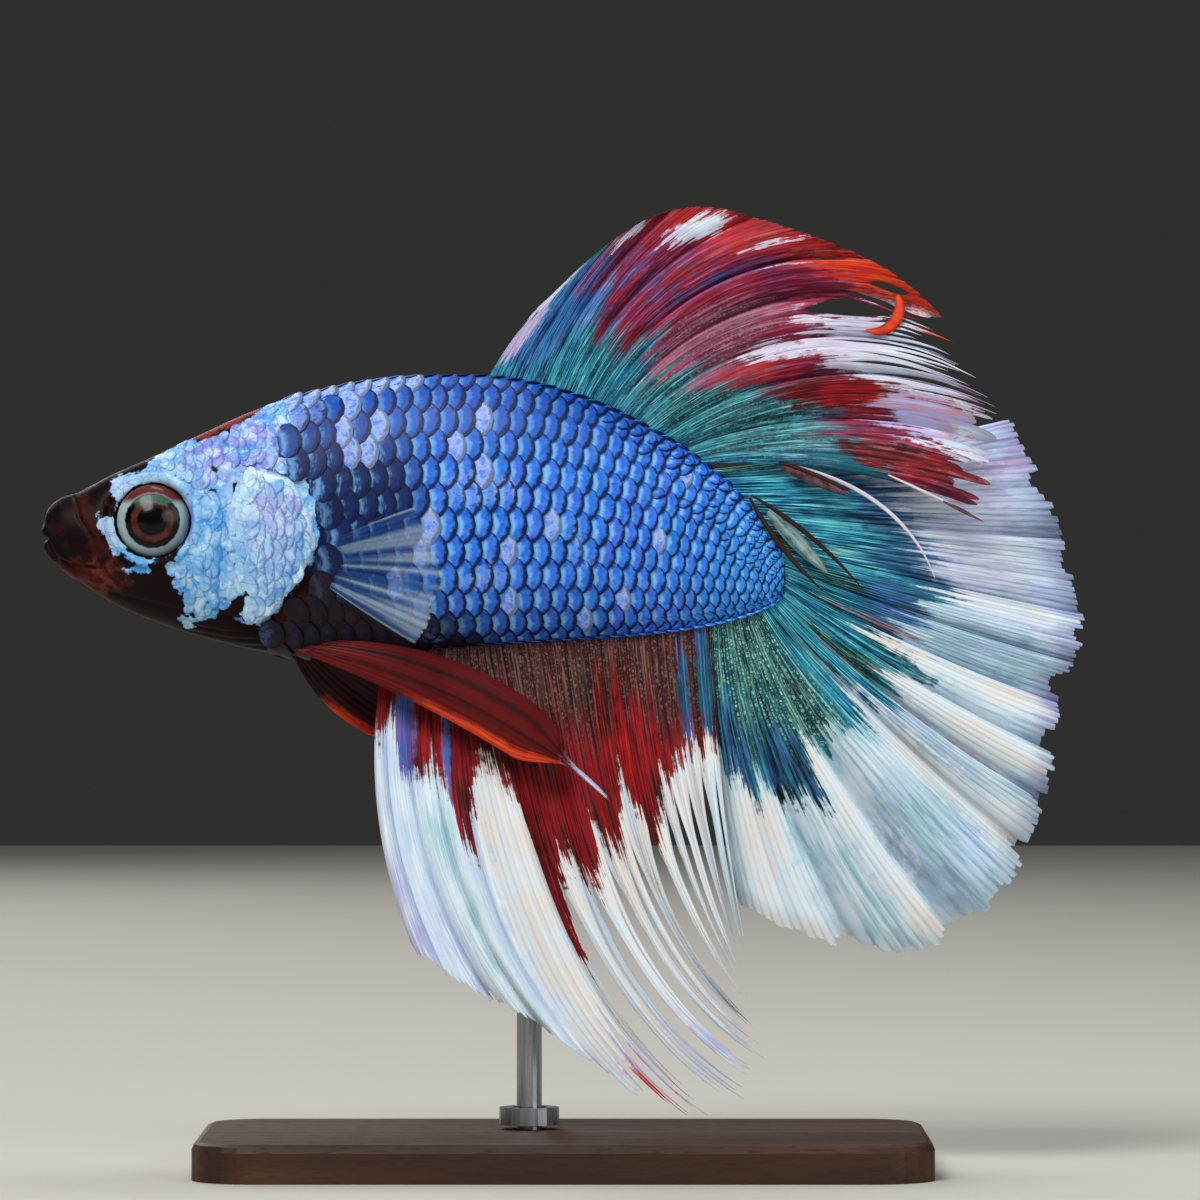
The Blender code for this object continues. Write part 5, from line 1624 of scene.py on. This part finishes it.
class BETTA_OT_paired_fins(Operator):
    """Make the pelvic and pectoral fins"""

    bl_idname = "betta.paired_fins"
    bl_label = "Paired fins"

    def execute(self, context):
        colours = context.scene.betta_colours
        layers = (
            # painted shade: dark lines along the pelvic fins' creases
            Layer("streak", 0.03, "far_red", "fin_maroon"),
            Layer("edge", 0.07, "fin_scarlet", "fin_orange"),
            Layer("needle", 0.03, "fin_white", "fin_lilac"),
            Layer("tip", 0.02, "fin_scarlet", "fin_red"),
        )
        # the far pelvic fin is painted darker, as shade
        for fin, base in ((PELVIC_LEFT, "pelvic_red"), (PELVIC_RIGHT, "far_red")):
            blood = fin_material(fin.name + "_membrane", base, layers, colours, wet=0.08)
            made = fin_ribbons(fin)
            u, v = made["u"], made["v"]
            # where the painted shade of the pelvic creases lies
            streak = np.maximum(0.05 - np.abs(u - 0.7), 0.04 - np.abs(u - 0.36 - 0.1 * v))
            edge = np.minimum(0.1 - u + 0.12 * v, v - 0.4)
            fields = {"edge": edge, "needle": v - 0.85, "tip": v - 0.97, "streak": streak}
            add_fin(fin, made, fields, blood)
        layers = (Layer("pale", 0.12, "fin_sky", "fin_ice"),)
        clear = fin_material("pectoral_fin_membrane", "fin_blue", layers, colours, clear=0.93)
        for fin in PECTORALS:
            made = fin_ribbons(fin)
            add_fin(fin, made, {"pale": made["luck"] + 0.4 * made["v"] - 0.75}, clear)
        return {"FINISHED"}


class BETTA_OT_stand(Operator):
    """Give the stand's base, rod and collar their finishes"""

    bl_idname = "betta.stand"
    bl_label = "Stand"

    def execute(self, context):
        colours = context.scene.betta_colours
        steel = steel_material(colours)
        finishes = {"stand_base": walnut_material(colours), "stand_rod": steel, "stand_collar": steel}
        for name, material in finishes.items():
            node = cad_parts[name]
            for slot in node.material_slots:
                slot.material = material
        return {"FINISHED"}


def fish_box():
    nodes = [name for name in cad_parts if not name.startswith("stand_")]
    corners = np.array([[list(corner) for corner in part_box(name)] for name in nodes])
    return Vector(corners[:, 0].min(0)), Vector(corners[:, 1].max(0))


def area_light(name, location, target, size, watts, colour=(1, 1, 1)):
    data = bpy.data.lights.new(name, "AREA")
    data.shape, data.size, data.energy, data.color = "DISK", size, watts, colour
    light = bpy.data.objects.new(name, data)
    bpy.context.scene.collection.objects.link(light)
    light.location = location
    light.rotation_euler = (Vector(target) - Vector(location)).to_track_quat("-Z", "Y").to_euler()
    return light


class BETTA_OT_stage(Operator):
    """Make the floor, the soft studio lights and the camera"""

    bl_idname = "betta.stage"
    bl_label = "Stage"

    def execute(self, context):
        scene, settings, colours = context.scene, context.scene.betta_stage, context.scene.betta_colours
        low, high = fish_box()
        middle = (low + high) / 2
        distance = settings.camera_distance
        width = (high.x - low.x) / settings.frame_share
        data = bpy.data.cameras.new("camera")
        data.sensor_width = 36
        data.lens = 36 * distance / width
        data.clip_start, data.clip_end = 0.01, 10
        camera = bpy.data.objects.new("camera", data)
        scene.collection.objects.link(camera)
        camera.location = (middle.x + 0.0295 * width, -distance, middle.z + 0.051 * width)
        camera.rotation_euler = (math.radians(90), 0, 0)
        scene.camera = camera

        front, behind, half = 0.45, 0.66, 0.75
        corners = ((-half, -front, 0), (half, -front, 0), (half, behind, 0), (-half, behind, 0))
        mesh = bpy.data.meshes.new("studio_floor")
        mesh.from_pydata(corners, [], [(0, 1, 2, 3)])
        floor = bpy.data.objects.new("studio_floor", mesh)
        scene.collection.objects.link(floor)
        mesh.materials.append(Paint("matt_paper", colours).finish("floor", 0.85))

        scene.view_settings.view_transform = "Standard"
        world = bpy.data.worlds.new("studio")
        world.use_nodes = True
        backdrop = {"Color": (*colours.backdrop, 1.0), "Strength": 1.0}
        fill(world.node_tree, world.node_tree.nodes["Background"], backdrop)
        scene.world = world
        target = (middle.x, 0, middle.z)
        area_light("key", (middle.x - 0.16, -0.34, 0.4), target, 0.26, settings.key_watts, (1.0, 0.98, 0.95))
        area_light("fill", (middle.x + 0.34, -0.36, 0.16), target, 0.3, settings.fill_watts, (0.9, 0.95, 1.0))
        area_light("top", (middle.x + 0.05, 0.12, 0.45), target, 0.24, settings.fill_watts * 1.3)
        area_light("back", (middle.x - 0.2, 0.45, 0.25), target, 0.3, settings.fill_watts, (0.95, 0.97, 1.0))
        return {"FINISHED"}


OPERATORS = (BETTA_OT_skin, BETTA_OT_scales, BETTA_OT_eyes, BETTA_OT_dorsal_fin, BETTA_OT_caudal_fin,
             BETTA_OT_anal_fin, BETTA_OT_paired_fins, BETTA_OT_stand, BETTA_OT_stage)  # fmt: skip


class BETTA_PT_panel(Panel):
    """Lists the pieces and their settings"""

    bl_idname = "BETTA_PT_panel"
    bl_label = "Betta"
    bl_space_type = "VIEW_3D"
    bl_region_type = "UI"
    bl_category = "Betta"

    def draw(self, context):
        for operator in OPERATORS:
            self.layout.operator(operator.bl_idname)
        for settings in (context.scene.betta_scales, context.scene.betta_stage, context.scene.betta_colours):
            box = self.layout.box()
            for name in settings.bl_rna.properties.keys():
                if name not in ("rna_type", "name"):
                    box.prop(settings, name)


CLASSES = (BettaColours, BettaScales, BettaStage, *OPERATORS, BETTA_PT_panel)


def register():
    for made in CLASSES:
        bpy.utils.register_class(made)
    bpy.types.Scene.betta_colours = PointerProperty(type=BettaColours)
    bpy.types.Scene.betta_scales = PointerProperty(type=BettaScales)
    bpy.types.Scene.betta_stage = PointerProperty(type=BettaStage)


def unregister():
    del bpy.types.Scene.betta_stage
    del bpy.types.Scene.betta_scales
    del bpy.types.Scene.betta_colours
    for made in reversed(CLASSES):
        bpy.utils.unregister_class(made)


def main():
    register()
    bpy.ops.betta.skin()
    bpy.ops.betta.scales()
    bpy.ops.betta.eyes()
    bpy.ops.betta.dorsal_fin()
    bpy.ops.betta.caudal_fin()
    bpy.ops.betta.anal_fin()
    bpy.ops.betta.paired_fins()
    bpy.ops.betta.stand()
    bpy.ops.betta.stage()


if __name__ == "__main__":
    main()
